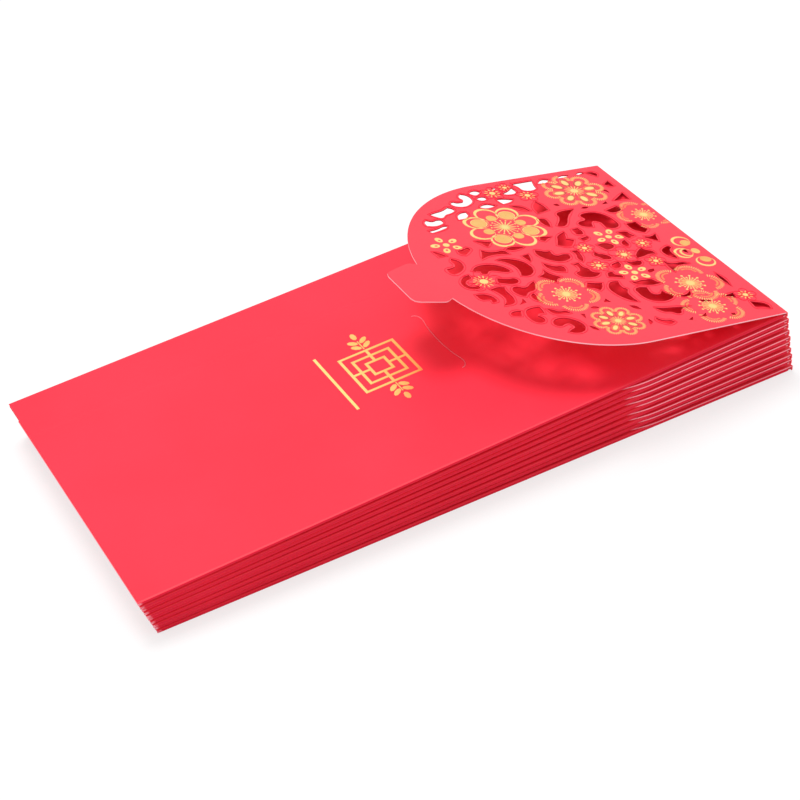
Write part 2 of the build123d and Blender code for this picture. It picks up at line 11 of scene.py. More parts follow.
import bmesh
import bpy
import numpy as np
from mathutils import Matrix, Vector


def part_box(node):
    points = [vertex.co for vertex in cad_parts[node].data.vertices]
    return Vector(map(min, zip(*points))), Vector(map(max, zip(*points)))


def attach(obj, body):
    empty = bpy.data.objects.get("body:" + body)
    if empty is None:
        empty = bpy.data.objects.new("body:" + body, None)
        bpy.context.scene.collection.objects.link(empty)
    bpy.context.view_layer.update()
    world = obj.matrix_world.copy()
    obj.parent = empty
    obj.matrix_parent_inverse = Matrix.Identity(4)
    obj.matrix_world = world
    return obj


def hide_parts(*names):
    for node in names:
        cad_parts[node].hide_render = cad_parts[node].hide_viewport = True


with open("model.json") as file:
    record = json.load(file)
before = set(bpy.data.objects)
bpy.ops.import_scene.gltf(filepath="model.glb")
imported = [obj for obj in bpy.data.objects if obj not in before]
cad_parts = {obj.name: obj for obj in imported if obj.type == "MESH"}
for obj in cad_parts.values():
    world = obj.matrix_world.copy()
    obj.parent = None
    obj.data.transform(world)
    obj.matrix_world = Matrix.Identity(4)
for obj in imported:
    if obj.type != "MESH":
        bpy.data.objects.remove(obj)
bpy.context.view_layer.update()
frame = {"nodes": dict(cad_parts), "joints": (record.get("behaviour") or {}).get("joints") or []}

MM = 0.001
nodes = frame["nodes"]

# %% [markdown]
# ## How each envelope lies
# Every envelope is the same piece of folded card, only laid a little differently. Copying a shape
# from the top envelope to another needs the place of both. The back panel is a flat box with three
# very different sizes, so the main directions of its corners give its length, width and thickness.

# %% Measure how each envelope lies
ENVELOPES = [f"envelope_{number:02d}" for number in range(1, 11)]
TOP = ENVELOPES[-1]


def envelope_frame(name):
    """Place of an envelope: the middle of its back panel, X to the mouth and Z out of the card."""
    corners = np.array([corner.co for corner in nodes[f"{name}_back_panel"].data.vertices])
    centre = corners.mean(axis=0)
    # The directions come from the longest to the shortest. Each is turned the way of X, Y or Z.
    axes = np.linalg.svd(corners - centre)[2]
    axes = [Vector(axis) * math.copysign(1, axis[row]) for row, axis in enumerate(axes)]
    return Matrix.Translation(centre) @ Matrix(axes).transposed().to_4x4()


envelope_frames = {name: envelope_frame(name) for name in ENVELOPES}
for name, place in envelope_frames.items():
    print(name, "tilt", round(math.degrees(place.to_euler().y), 3), "degrees")

# %% [markdown]
# ## The camera
# The camera stands to the left in front of the pack and looks down on it. It could be placed by eye.
# Here it is placed by an aim point, two angles, a roll and a distance, so each can be read and
# changed alone. A long lens keeps the far edges almost parallel, as in a catalogue picture.

# %% Camera at the photo's angle
AIM = Vector((-1.638, 2.114, 0.0)) * MM
AZIMUTH = math.radians(-25.631)
ELEVATION = math.radians(37.625)
ROLL = math.radians(-4.984)
DISTANCE = 493.852 * MM
LENS = 87.54
SENSOR_WIDTH = 36.0
CLIP_START = 10 * MM

camera_back = Vector((
    math.sin(AZIMUTH) * math.cos(ELEVATION),
    -math.cos(AZIMUTH) * math.cos(ELEVATION),
    math.sin(ELEVATION),
))
level = Vector((math.cos(AZIMUTH), math.sin(AZIMUTH), 0.0))
upward = camera_back.cross(level)
camera_right = math.cos(ROLL) * level + math.sin(ROLL) * upward
camera_up = math.cos(ROLL) * upward - math.sin(ROLL) * level

camera = bpy.data.objects.new("photo_camera", bpy.data.cameras.new("photo_camera"))
camera.data.lens = LENS
camera.data.sensor_width = SENSOR_WIDTH
camera.data.clip_start = CLIP_START
camera.matrix_world = (
    Matrix.Translation(AIM + DISTANCE * camera_back)
    @ Matrix((camera_right, camera_up, camera_back)).transposed().to_4x4()
)
bpy.context.collection.objects.link(camera)
bpy.context.scene.camera = camera
print("camera at", [round(value, 4) for value in camera.matrix_world.translation])

# %% [markdown]
# ## Nodes without fuss
# Materials and node trees are built from many nodes. One small helper adds a node, sets it up and
# fills its inputs with values or links. The two others are for what comes back most often: a node
# that reckons with numbers, and a new material.

# %% Helpers for node trees
def add_node(tree, kind, inputs=None, **settings):
    """Add a node, change its settings, and give its inputs a value or a link."""
    node = tree.nodes.new(kind)
    for label, value in settings.items():
        setattr(node, label, value)
    for key, value in (inputs or {}).items():
        if isinstance(value, bpy.types.NodeSocket):
            tree.links.new(value, node.inputs[key])
        else:
            node.inputs[key].default_value = value
    return node


def maths(tree, operation, *values, **settings):
    """Add a node that works out one number from others, and return its result."""
    node = add_node(tree, "ShaderNodeMath", dict(enumerate(values)), operation=operation, **settings)
    return node.outputs[0]


def new_material(name):
    """Make a material, and return it with its node tree and its shader."""
    material = bpy.data.materials.new(name)
    material.use_nodes = True
    return material, material.node_tree, material.node_tree.nodes["Principled BSDF"]


print("helpers:", add_node.__name__, maths.__name__, new_material.__name__)

# %% [markdown]
# ## White surroundings
# The picture has a white sweep and soft light from all round. A row of soft boxes could give it, but
# one white world does the same with nothing to place. What the camera sees and what shiny surfaces
# mirror is plain white, while the light that falls on the card is dimmer, at a level where a colour
# shows about as it is written.

# %% White world
WORLD_LIGHT = 0.74
WHITE = (1, 1, 1, 1)


def seen_directly(tree):
    """A mask for what the camera, a shiny surface or a clear surface sees."""
    path = add_node(tree, "ShaderNodeLightPath").outputs
    mirrored = maths(tree, "MAXIMUM", path["Is Glossy Ray"], path["Is Transmission Ray"])
    return maths(tree, "MAXIMUM", path["Is Camera Ray"], mirrored)


scene = bpy.context.scene
scene.view_settings.view_transform = "Standard"
scene.world = bpy.data.worlds.new("white_surroundings")
scene.world.use_nodes = True
sky = scene.world.node_tree
sky.nodes.clear()
dim = add_node(sky, "ShaderNodeBackground", {"Color": WHITE, "Strength": WORLD_LIGHT})
white = add_node(sky, "ShaderNodeBackground", {"Color": WHITE, "Strength": 1.0})
sky_mix = add_node(sky, "ShaderNodeMixShader",
                   {0: seen_directly(sky), 1: dim.outputs[0], 2: white.outputs[0]})
add_node(sky, "ShaderNodeOutputWorld", {"Surface": sky_mix.outputs[0]})
print("the world lights the card with", WORLD_LIGHT, "of white")

# %% [markdown]
# ## One lamp above
# A little more light comes from above and slightly behind. It falls through the lace and makes soft
# spots on the panel below. A very wide lamp would wash these spots out, and a tiny one would draw
# every window sharply, so the lamp is a square about two fifths as wide as it is far away.

# %% Lamp above the pack
KEY_POWER = 5.8
KEY_SIZE = 0.38
KEY_PLACE = Vector((-0.07, 0.19, 0.95))
key = bpy.data.objects.new("key_lamp", bpy.data.lights.new("key_lamp", "AREA"))
key.data.size = KEY_SIZE
key.data.energy = KEY_POWER
key.location = KEY_PLACE
key.rotation_euler = KEY_PLACE.to_track_quat("Z", "Y").to_euler()
bpy.context.collection.objects.link(key)
print("lamp of", KEY_POWER, "W,", round(KEY_PLACE.length, 2), "m away")

# %% [markdown]
# ## A floor that keeps the shadow
# The pack lies on white paper, of which only the white and a light shadow show. Plain lit paper
# would come out grey at this level of light. So most of what the camera sees of it is a glow of
# plain white, and the rest is lit paper, which darkens under the pack. Away from the pack the glow
# takes over, as a sweep of paper ends in white.

# %% Floor
FLOOR_HALF = 2.0
FLOOR_WHITE = 0.7
SHADOW_END = 0.18
WHITE_FROM = 0.6
FLOOR_DROP = 0.05 * MM
FLOOR_PAPER = (0.92, 0.92, 0.92, 1)

floor_paper, floor_tree, _ = new_material("floor_paper")
floor_tree.nodes.clear()
lit = add_node(floor_tree, "ShaderNodeBsdfDiffuse", {"Color": FLOOR_PAPER})
glow = add_node(floor_tree, "ShaderNodeEmission", {"Color": WHITE, "Strength": 1.0})
floor_place = add_node(floor_tree, "ShaderNodeTexCoord").outputs["Object"]
away = add_node(floor_tree, "ShaderNodeVectorMath", {0: floor_place}, operation="LENGTH")
sweep = add_node(floor_tree, "ShaderNodeMapRange",
                 {"Value": away.outputs["Value"], "From Min": SHADOW_END, "From Max": WHITE_FROM,
                  "To Min": FLOOR_WHITE, "To Max": 1.0})
share = maths(floor_tree, "MULTIPLY", seen_directly(floor_tree), sweep.outputs[0])
floor_mix = add_node(floor_tree, "ShaderNodeMixShader",
                     {0: share, 1: lit.outputs[0], 2: glow.outputs[0]})
add_node(floor_tree, "ShaderNodeOutputMaterial", {"Surface": floor_mix.outputs[0]})

floor_mesh = bpy.data.meshes.new("floor")
floor_mesh.from_pydata(
    [(x * FLOOR_HALF, y * FLOOR_HALF, -FLOOR_DROP) for x, y in ((-1, -1), (1, -1), (1, 1), (-1, 1))],
    [], [(0, 1, 2, 3)])
floor_mesh.materials.append(floor_paper)
floor = bpy.data.objects.new("floor", floor_mesh)
bpy.context.collection.objects.link(floor)
print("floor", 2 * FLOOR_HALF, "m square")

# %% [markdown]
# ## The tooth of the card
# Coated red card is smooth, but close up it has a fine tooth from its fibres, and its colour drifts
# a little in soft clouds. Both are noise, at two scales, and part of the tooth is stretched into
# strands. The panels, the flap, the folds and the cut edges all need them, so they are one group
# with named inputs, used by every card material. A helper makes the empty group, and the lace and
# the foil use it again for their trees.

# %% Shader group for card fibres
GRAIN_DETAIL = 3.0
STRAND_DETAIL = 1.0
STRAND_STRETCH = (0.2, 1, 1)
CLOUD_DETAIL = 3.0


def new_group(name, kind, inputs, outputs):
    """Make a node group, and return it with the sockets that its nodes start from and end in."""
    tree = bpy.data.node_groups.new(name, kind)
    for label, socket_type in inputs.items():
        tree.interface.new_socket(label, in_out="INPUT", socket_type=f"NodeSocket{socket_type}")
    for label, socket_type in outputs.items():
        tree.interface.new_socket(label, in_out="OUTPUT", socket_type=f"NodeSocket{socket_type}")
    given = tree.nodes.new("NodeGroupInput").outputs
    result = tree.nodes.new("NodeGroupOutput").inputs
    return tree, given, result


card_fibre, given, result = new_group(
    "card_fibre", "ShaderNodeTree",
    {"Place": "Vector", "Grain": "Float", "Cloud": "Float"},
    {"Tooth": "Float", "Drift": "Float"})
grain = add_node(card_fibre, "ShaderNodeTexNoise",
                 {"Vector": given["Place"], "Scale": given["Grain"], "Detail": GRAIN_DETAIL})
along = add_node(card_fibre, "ShaderNodeMapping", {"Vector": given["Place"], "Scale": STRAND_STRETCH})
strands = add_node(card_fibre, "ShaderNodeTexNoise",
                   {"Vector": along.outputs[0], "Scale": given["Grain"], "Detail": STRAND_DETAIL})
tooth = maths(card_fibre, "ADD", grain.outputs[0], strands.outputs[0])
cloud = add_node(card_fibre, "ShaderNodeTexNoise",
                 {"Vector": given["Place"], "Scale": given["Cloud"], "Detail": CLOUD_DETAIL})
card_fibre.links.new(tooth, result["Tooth"])
card_fibre.links.new(cloud.outputs[0], result["Drift"])
print("group", card_fibre.name, "with", len(card_fibre.nodes), "nodes")

# %% [markdown]
# ## Colours of the card
# The faces are a deep red. The folds along the near side lie in each other's shade, and that shade is
# painted into them as a deeper red.
# Where the knife went through, the paper inside shows as a pink line. Round the rim of the raised
# flap it is painted paler, as a painted highlight. The walls of the small lace windows are painted
# deep red, as the shade inside the cut. Each finish gets two colours, and the soft clouds of the card
# drift from one to the other.

# %% Two colours for each finish
CARD_COLOURS = (0.91, 0.021, 0.048, 1), (0.94, 0.025, 0.055, 1)
# painted shade: the folds and the pressed lines are painted this deeper red for the shade they lie in
PAINTED_SHADE_COLOURS = (0.72, 0.009, 0.036, 1), (0.78, 0.012, 0.042, 1)
# painted shade: the walls of the lace windows are painted deep red for the shade inside the cut
WALL_SHADE_COLOURS = (0.56, 0.007, 0.028, 1), (0.62, 0.009, 0.033, 1)
EDGE_COLOURS = (0.95, 0.20, 0.26, 1), (1.0, 0.35, 0.42, 1)
# painted highlight: the rim of the raised flap is painted paler where it catches the light
RIM_HIGHLIGHT_COLOURS = (0.98, 0.38, 0.44, 1), (1.0, 0.55, 0.60, 1)
GLUE_COLOURS = (0.72, 0.62, 0.50, 1), (0.82, 0.74, 0.62, 1)
print("card red", CARD_COLOURS[0][:3])

# %% [markdown]
# ## Scuffed corners
# At the bottom end the near corners of the folds are knocked, and the pale paper inside shows. Dents
# in the mesh would be too small to see. So each fold keeps a value named from_corner, which is how
# far a point lies from its corner in millimetres. The pale colour fades out with it, and the tooth
# of the card breaks it up.

# %% Mask for a scuffed corner
SCUFF_REACH = 1.2
SCUFF_TOOTH = (0.8, 1.1)
SCUFF_BREAK = (0.4, 1.6)


def scuff_mask(tree, tooth):
    """A broken mask that fades out over a short way from the corner of a fold."""
    away = add_node(tree, "ShaderNodeAttribute", attribute_name="from_corner").outputs["Fac"]
    fade = add_node(tree, "ShaderNodeMapRange",
                    {"Value": away, "From Max": SCUFF_REACH, "To Min": 1.0, "To Max": 0.0})
    broken = add_node(tree, "ShaderNodeMapRange",
                      {"Value": tooth, "From Min": SCUFF_TOOTH[0], "From Max": SCUFF_TOOTH[1],
                       "To Min": SCUFF_BREAK[0], "To Max": SCUFF_BREAK[1]})
    return maths(tree, "MULTIPLY", fade.outputs[0], broken.outputs[0], use_clamp=True)


print("corners are scuffed over", SCUFF_REACH, "mm")

# %% [markdown]
# ## The step over the glue flap
# The front panel shows a faint step where it passes over the glue flap inside. It is far lower than
# the card is thick and only shows as a soft line in the gloss. A second sheet of mesh would be too
# much for it, so it is a smooth bump along one line.

# %% Bump along the seam
SEAM_BLUR = 0.5 * MM
SEAM_STEP = 0.05 * MM


def seam_bump(tree, place, seam_line, below):
    """A bump that steps up along one line, on top of another bump."""
    across = add_node(tree, "ShaderNodeSeparateXYZ", {0: place}).outputs["Y"]
    step = add_node(tree, "ShaderNodeMapRange",
                    {"Value": across, "From Min": seam_line - SEAM_BLUR,
                     "From Max": seam_line + SEAM_BLUR}, interpolation_type="SMOOTHSTEP")
    return add_node(tree, "ShaderNodeBump",
                    {"Height": step.outputs[0], "Distance": SEAM_STEP, "Normal": below.outputs[0]})


seam_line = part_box(f"{TOP}_side_glue_flap")[0].y
print("seam line at", round(seam_line / MM, 2), "mm from the middle")

# %% [markdown]
# ## Card materials
# Every finish of the card is the same paper under another colour and gloss, so one function makes
# them all and places the fibre group in each. The tooth drives roughness and bump. The gloss is the
# same all over a finish, so it is set on the shader's own socket. A Mix node has sockets for numbers
# and vectors before those for colours, so its colour sockets are reached by number.

# %% Function for a card material
CARD_GRAIN = 2600.0
CARD_CLOUD = 28.0
CARD_SHINE = 0.5
TINT_STOPS = (0.35, 0.65)
TOOTH_TOP = 2.0
TOOTH_STRENGTH = 0.6
CARD_ROUGHNESS = (0.46, 0.58)
MIX_FIRST, MIX_SECOND, MIX_RESULT = 6, 7, 2


def card_material(name, colours, tooth_depth, seam_line=None, shine=CARD_SHINE, scuffed=False):
    """Card with a fine tooth and a soft drift of colour, and maybe a seam step or a scuffed corner."""
    material, tree, shader = new_material(name)
    shader.inputs["Specular IOR Level"].default_value = shine
    place = add_node(tree, "ShaderNodeTexCoord").outputs["Object"]
    fibre = add_node(tree, "ShaderNodeGroup",
                     {"Place": place, "Grain": CARD_GRAIN, "Cloud": CARD_CLOUD}, node_tree=card_fibre)
    tint = add_node(tree, "ShaderNodeValToRGB", {"Fac": fibre.outputs["Drift"]})
    for stop, position, colour in zip(tint.color_ramp.elements, TINT_STOPS, colours):
        stop.position = position
        stop.color = colour
    gloss = add_node(tree, "ShaderNodeMapRange",
                     {"Value": fibre.outputs["Tooth"], "From Max": TOOTH_TOP,
                      "To Min": CARD_ROUGHNESS[0], "To Max": CARD_ROUGHNESS[1]})
    bump = add_node(tree, "ShaderNodeBump", {"Height": fibre.outputs["Tooth"],
                                             "Strength": TOOTH_STRENGTH, "Distance": tooth_depth})
    if seam_line is not None:
        bump = seam_bump(tree, place, seam_line, bump)
    colour = tint.outputs["Color"]
    if scuffed:
        worn = add_node(tree, "ShaderNodeMix",
                        {"Factor": scuff_mask(tree, fibre.outputs["Tooth"]), MIX_FIRST: colour,
                         MIX_SECOND: EDGE_COLOURS[1]}, data_type="RGBA")
        colour = worn.outputs[MIX_RESULT]
    tree.links.new(colour, shader.inputs["Base Color"])
    tree.links.new(gloss.outputs[0], shader.inputs["Roughness"])
    tree.links.new(bump.outputs[0], shader.inputs["Normal"])
    return material


print("card is", CARD_ROUGHNESS, "rough")

# %% [markdown]
# ## One material for each finish
# The panel is a little less glossy than the flap, and folds and cut edges are almost dull. The lines
# that the press leaves in the lace take the deeper red of the folds, as painted shade of their
# groove. The glue is a thin milky film inside the seams, with the tooth of the card that it sits on.

# %% Materials of the card
FACE_TOOTH = 0.01 * MM
CUT_TOOTH = 0.02 * MM
PANEL_SHINE = 0.25
FOLD_SHINE = 0.12
red_card = card_material("red_card_face", CARD_COLOURS, FACE_TOOTH)
front_card = card_material("red_card_front", CARD_COLOURS, FACE_TOOTH, seam_line, shine=PANEL_SHINE)
# the folds' deeper red is painted shade, and their pale scuffed corners are real wear
shaded_fold_card = card_material("red_card_fold", PAINTED_SHADE_COLOURS, CUT_TOOTH, shine=FOLD_SHINE, scuffed=True)
shaded_pressed_card = card_material("red_card_pressed", PAINTED_SHADE_COLOURS, CUT_TOOTH, shine=FOLD_SHINE)
wall_shade_card = card_material("red_card_cut", WALL_SHADE_COLOURS, CUT_TOOTH, shine=FOLD_SHINE)
cut_edge = card_material("card_cut_edge", EDGE_COLOURS, CUT_TOOTH, shine=FOLD_SHINE)
rim_highlight_edge = card_material("card_rim_edge", RIM_HIGHLIGHT_COLOURS, CUT_TOOTH, shine=FOLD_SHINE)
glue_film = card_material("glue_film", GLUE_COLOURS, CUT_TOOTH)
print("shine of the flap", CARD_SHINE, "of the panel", PANEL_SHINE, "of the folds", FOLD_SHINE)

# %% [markdown]
# ## The press of the foil
# Hot-stamped foil is a very thin metal film. It takes on small dimples and wider patches from the
# card under it, which break up what it mirrors. A painted picture of gold would not move with the
# light, so both are noise, in one group for the flowers and the emblem.

# %% Shader group for pressed foil
FOIL_DETAIL = 2.0
PATCH_SHARE = 0.12
pressed_foil, given, result = new_group(
    "pressed_foil", "ShaderNodeTree", {"Place": "Vector", "Grain": "Float"},
    {"Dimple": "Float", "Patch": "Float"})
dimple = add_node(pressed_foil, "ShaderNodeTexNoise",
                  {"Vector": given["Place"], "Scale": given["Grain"], "Detail": FOIL_DETAIL})
patch_scale = maths(pressed_foil, "MULTIPLY", given["Grain"], PATCH_SHARE)
patch = add_node(pressed_foil, "ShaderNodeTexNoise",
                 {"Vector": given["Place"], "Scale": patch_scale, "Detail": FOIL_DETAIL})
pressed_foil.links.new(dimple.outputs[0], result["Dimple"])
pressed_foil.links.new(patch.outputs[0], result["Patch"])
print("group", pressed_foil.name, "with", len(pressed_foil.nodes), "nodes")

# %% [markdown]
# ## Gold that follows a tone
# The foil is one gold, but it looks pale where it mirrors the white room and deep or dark where it
# mirrors the red card or lies in shade. So each plate's gold is painted reflection and painted shade:
# broad plates are painted paler and fine lines deeper. A material for each shade could be made, but
# one ramp from dark to pale gold needs only a tone between nought and one. The patches shift the
# tone a little, so no two plates are quite alike.

# %% Function for a foil material
FOIL_GRAIN = 2400.0
# painted shade and painted reflection: the dark, deep and pale gold stand for how one foil catches the
# light
FOIL_DARK = (0.30, 0.15, 0.04, 1)
FOIL_DEEP = (0.90, 0.42, 0.10, 1)
FOIL_PALE = (0.98, 0.76, 0.27, 1)
FOIL_DEEP_AT = 0.12
FOIL_ROUGHNESS = (0.22, 0.42)
PATCH_SWING = 0.5
DIMPLE_STRENGTH = 0.5
DIMPLE_DEPTH = 0.02 * MM


def foil_material(name, tone_source):
    """Gold foil that goes from dark to pale gold by a tone that changes over the surface."""
    material, tree, shader = new_material(name)
    shader.inputs["Metallic"].default_value = 1.0
    place = add_node(tree, "ShaderNodeTexCoord").outputs["Object"]
    press = add_node(tree, "ShaderNodeGroup", {"Place": place, "Grain": FOIL_GRAIN},
                     node_tree=pressed_foil)
    blotch = maths(tree, "MULTIPLY_ADD", press.outputs["Patch"], PATCH_SWING, -PATCH_SWING / 2)
    tone = maths(tree, "ADD", tone_source(tree, place), blotch)
    gold = add_node(tree, "ShaderNodeValToRGB", {"Fac": tone})
    gold.color_ramp.elements.new(FOIL_DEEP_AT)
    for stop, colour in zip(gold.color_ramp.elements, (FOIL_DARK, FOIL_DEEP, FOIL_PALE)):
        stop.color = colour
    gloss = add_node(tree, "ShaderNodeMapRange",
                     {"Value": press.outputs["Dimple"], "To Min": FOIL_ROUGHNESS[0],
                      "To Max": FOIL_ROUGHNESS[1]})
    bump = add_node(tree, "ShaderNodeBump", {"Height": press.outputs["Dimple"],
                                             "Strength": DIMPLE_STRENGTH, "Distance": DIMPLE_DEPTH})
    tree.links.new(gold.outputs["Color"], shader.inputs["Base Color"])
    tree.links.new(gloss.outputs[0], shader.inputs["Roughness"])
    tree.links.new(bump.outputs[0], shader.inputs["Normal"])
    return material


print("foil from", FOIL_DARK[:3], "through", FOIL_DEEP[:3], "to", FOIL_PALE[:3])

# %% [markdown]
# ## Where the tone comes from
# Each plate of a flower has a tone of its own, kept as a value on the flowers' mesh. The emblem is
# one piece of foil, and its tone falls from the bottom end to the mouth end as a painted reflection
# of the room, so its tone is read from the place along the envelope.

# %% Foil of the flowers and of the emblem
EMBLEM_START = -22.0 * MM
EMBLEM_END = 3.0 * MM
EMBLEM_LEAST = 0.1


def flower_tone(tree, place):
    """The tone kept on the flowers' mesh, whatever the place."""
    return add_node(tree, "ShaderNodeAttribute", attribute_name="tone").outputs["Fac"]


def emblem_reflection_tone(tree, place):
    """A tone that falls from the bottom end of the emblem to its mouth end, as a painted reflection.
    """
    along = add_node(tree, "ShaderNodeSeparateXYZ", {0: place}).outputs["X"]
    fall = add_node(tree, "ShaderNodeMapRange",
                    {"Value": along, "From Min": EMBLEM_START, "From Max": EMBLEM_END, "To Min": 1.0,
                     "To Max": EMBLEM_LEAST})
    return fall.outputs[0]


flower_foil = foil_material("gold_foil_flowers", flower_tone)
emblem_foil = foil_material("gold_foil_emblem", emblem_reflection_tone)
print("foil materials:", flower_foil.name, "and", emblem_foil.name)

# %% [markdown]
# ## Dress the flat pieces
# The panels keep their own solids, and so do the spine, the glue and the ornament of the top envelope.
# The big faces of a panel take the red card, and its thin sides, which the knife made, take the cut
# edge. A face belongs to a cut when it looks sideways out of the sheet, but not at the bottom end,
# where the card is folded. A node's name starts with its envelope's, which tells how the sheet lies.

# %% Materials on the carried-over solids
CUT_LIMIT = 0.35
BACK_LIMIT = -0.5


def envelope_of(node_name):
    """Place of the envelope that a node is part of, the way to its mouth and the way up from it."""
    place = envelope_frames[node_name[:len(TOP)]]
    return place, place.col[0].to_3d(), place.col[2].to_3d()


def dress(node_name, face_material, edge_material=None):
    """Give a carried-over solid its material, with another on faces that look sideways."""
    mesh = nodes[node_name].data
    mesh.materials.clear()
    mesh.materials.append(face_material)
    if edge_material is None:
        return 0
    mesh.materials.append(edge_material)
    _, mouthward, lift = envelope_of(node_name)
    sideways = [abs(face.normal.dot(lift)) < CUT_LIMIT and face.normal.dot(mouthward) > BACK_LIMIT
                for face in mesh.polygons]
    mesh.polygons.foreach_set("material_index", sideways)
    return sum(sideways)


cut_faces = 0
for name in ENVELOPES:
    cut_faces += dress(f"{name}_back_panel", red_card, cut_edge)
    cut_faces += dress(f"{name}_front_panel", front_card, cut_edge)
dress(f"{TOP}_mouth_crease", red_card)
for piece in ("side_glue_line", "bottom_glue_line"):
    dress(f"{TOP}_{piece}", glue_film)
dress(f"{TOP}_emblem_foil", emblem_foil)
print(cut_faces, "faces on the panels are cut edges")

# %% [markdown]
# ## Pieces that stand for solids
# Some forms are finer than the solids could hold, so a new mesh stands for the solid. It moves with
# the same envelope, and the solid behind it is hidden. Such a mesh mostly starts as a copy of a solid
# with its loose corners joined, is edited as a shape, and ends as a plain mesh with its materials.

# %% Helpers for new pieces
WELD = 0.002 * MM


def new_piece(name, mesh, body, slot, *replaced):
    """Put a finished mesh on a body and hide the solids that it stands for; the slot is not used."""
    piece = bpy.data.objects.new(name, mesh)
    bpy.context.collection.objects.link(piece)
    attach(piece, body)
    if replaced:
        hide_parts(*replaced)


def merged_copy(node_name):
    """A copy of a solid's mesh with its loose corners joined."""
    shape = bmesh.new()
    shape.from_mesh(nodes[node_name].data)
    bmesh.ops.remove_doubles(shape, verts=shape.verts, dist=WELD)
    return shape


def shade_smooth(shape, hardest_turn):
    """Shade a shape smooth, apart from edges that are open or turn too hard."""
    for face in shape.faces:
        face.smooth = True
    for edge in shape.edges:
        edge.smooth = len(edge.link_faces) == 2 and edge.calc_face_angle() < hardest_turn


def plain_mesh(shape, name, materials):
    """Turn an edited shape into a mesh with materials, and let the shape go."""
    mesh = bpy.data.meshes.new(name)
    shape.to_mesh(mesh)
    shape.free()
    for material in materials:
        mesh.materials.append(material)
    return mesh


print("corners within", WELD / MM, "mm are joined")

# %% [markdown]
# ## Rounded folds
# The card turns over along three edges of each envelope, and the solids show each fold with a few
# flat steps. A subdivided mesh would also round the rims of the card. A narrow bevel takes only the
# edges between two flat steps, which turn by about the same angle, so the rims stay sharp. The ends
# that the knife made take the cut edge, what looks up takes the red of the panel, the rest takes the
# deeper red of painted shade, and every point learns how far it is from the scuffed corner.

# %% Round off the folds
FOLD_BEVEL = 0.09 * MM
FOLD_SEGMENTS = 4
ROUND_PROFILE = 0.5
STEP_LEAST, STEP_MOST = 0.5, 1.0
SMOOTH_TURN = 0.6
KNIFE_END = 0.9
UPWARD = 0.6
FOLD_FINISHES = (shaded_fold_card, cut_edge, red_card)
CUT_SLOT, FACE_SLOT = 1, 2
near_fold_corners = np.array([envelope_frames[TOP].inverted() @ corner.co
                              for corner in nodes[f"{TOP}_near_fold"].data.vertices])
NEAR_CORNER = near_fold_corners[:, :2].min(axis=0) / MM


def rounded_fold(node_name):
    """A fold whose flat steps are beveled into a round."""
    shape = merged_copy(node_name)
    steps = [edge for edge in shape.edges
             if len(edge.link_faces) == 2 and STEP_LEAST < edge.calc_face_angle() < STEP_MOST]
    bmesh.ops.bevel(shape, geom=steps, offset=FOLD_BEVEL, segments=FOLD_SEGMENTS, affect="EDGES",
                    profile=ROUND_PROFILE, clamp_overlap=True)
    shade_smooth(shape, SMOOTH_TURN)
    place, mouthward, lift = envelope_of(node_name)
    for face in shape.faces:
        if abs(face.normal.dot(mouthward)) > KNIFE_END:
            face.material_index = CUT_SLOT
        elif face.normal.dot(lift) > UPWARD:
            face.material_index = FACE_SLOT
    mesh = plain_mesh(shape, f"{node_name}_round", FOLD_FINISHES)
    corners = np.array([place.inverted() @ corner.co for corner in mesh.vertices])[:, :2] / MM
    away = np.hypot(*(corners - NEAR_CORNER).T)
    mesh.attributes.new("from_corner", "FLOAT", "POINT").data.foreach_set("value", away)
    return mesh


for name in ENVELOPES:
    seams = ["side_glue_flap", "bottom_glue_flap"] if name == TOP else ["glue_flaps"]
    for piece in ["near_fold"] + seams:
        node_name = f"{name}_{piece}"
        new_piece(f"{node_name}_round", rounded_fold(node_name), name, "red_card", node_name)
print("rounded folds on", len(ENVELOPES), "envelopes")

# %% [markdown]
# ## How the raised flap lies
# The flap turns about the crease at the mouth. Its own flat frame starts on the hinge, with X out of
# the mouth, Y along the crease and Z up from the card, in millimetres. The angle could be typed in,
# but the faces of the solid have it already, so it is measured from them.

# %% Measure how the flap lies
FACE_UP = 0.9
hinge = next(joint for joint in frame["joints"] if joint["name"] == "flap_hinge")
flap_node = f"{TOP}_closure_flap"
flap_faces = [face for face in nodes[flap_node].data.polygons if face.normal.z > FACE_UP]
flap_lift = sum((face.normal * face.area for face in flap_faces), Vector()).normalized()
flap_across = Vector(hinge["axis"])
raised_flap = (
    Matrix.Translation(hinge["pos_m"])
    @ Matrix((flap_across.cross(flap_lift), flap_across, flap_lift)).transposed().to_4x4()
    @ Matrix.Scale(MM, 4)
)
raised_by = flap_lift.angle(envelope_of(TOP)[2])
print("the flap is raised by", round(math.degrees(raised_by), 1), "degrees")

# %% [markdown]
# ## The lace flap
# The flap is cut by a die, so its windows are smooth scrolls, while the solid shows them with short
# straight sides. A boolean with new cutters could drift from the solid. So the outlines are read from
# the solid, in the flap's own frame, and the next steps smooth them.

# %% Read the outlines of the flap
def sheet_loops(node_name, place):
    """Rows of corners round the upper side of a flat sheet, and all heights, in its own frame."""
    sheet = merged_copy(node_name)
    sheet.transform(place.inverted())
    sheet.normal_update()
    rim = {edge.index: edge for edge in sheet.edges
           if sum(face.normal.z > FACE_UP for face in edge.link_faces) == 1}
    loops = []
    while rim:
        edge = rim.pop(next(iter(rim)))
        row = [edge.verts[0], edge.verts[1]]
        while row[-1] is not row[0]:
            edge = next(other for other in row[-1].link_edges if other.index in rim)
            rim.pop(edge.index)
            row.append(edge.other_vert(row[-1]))
        loops.append([corner.co.to_2d() for corner in row[:-1]])
    heights = [corner.co.z for corner in sheet.verts]
    sheet.free()
    return sorted(loops, key=lambda row: -max(corner.length for corner in row)), heights


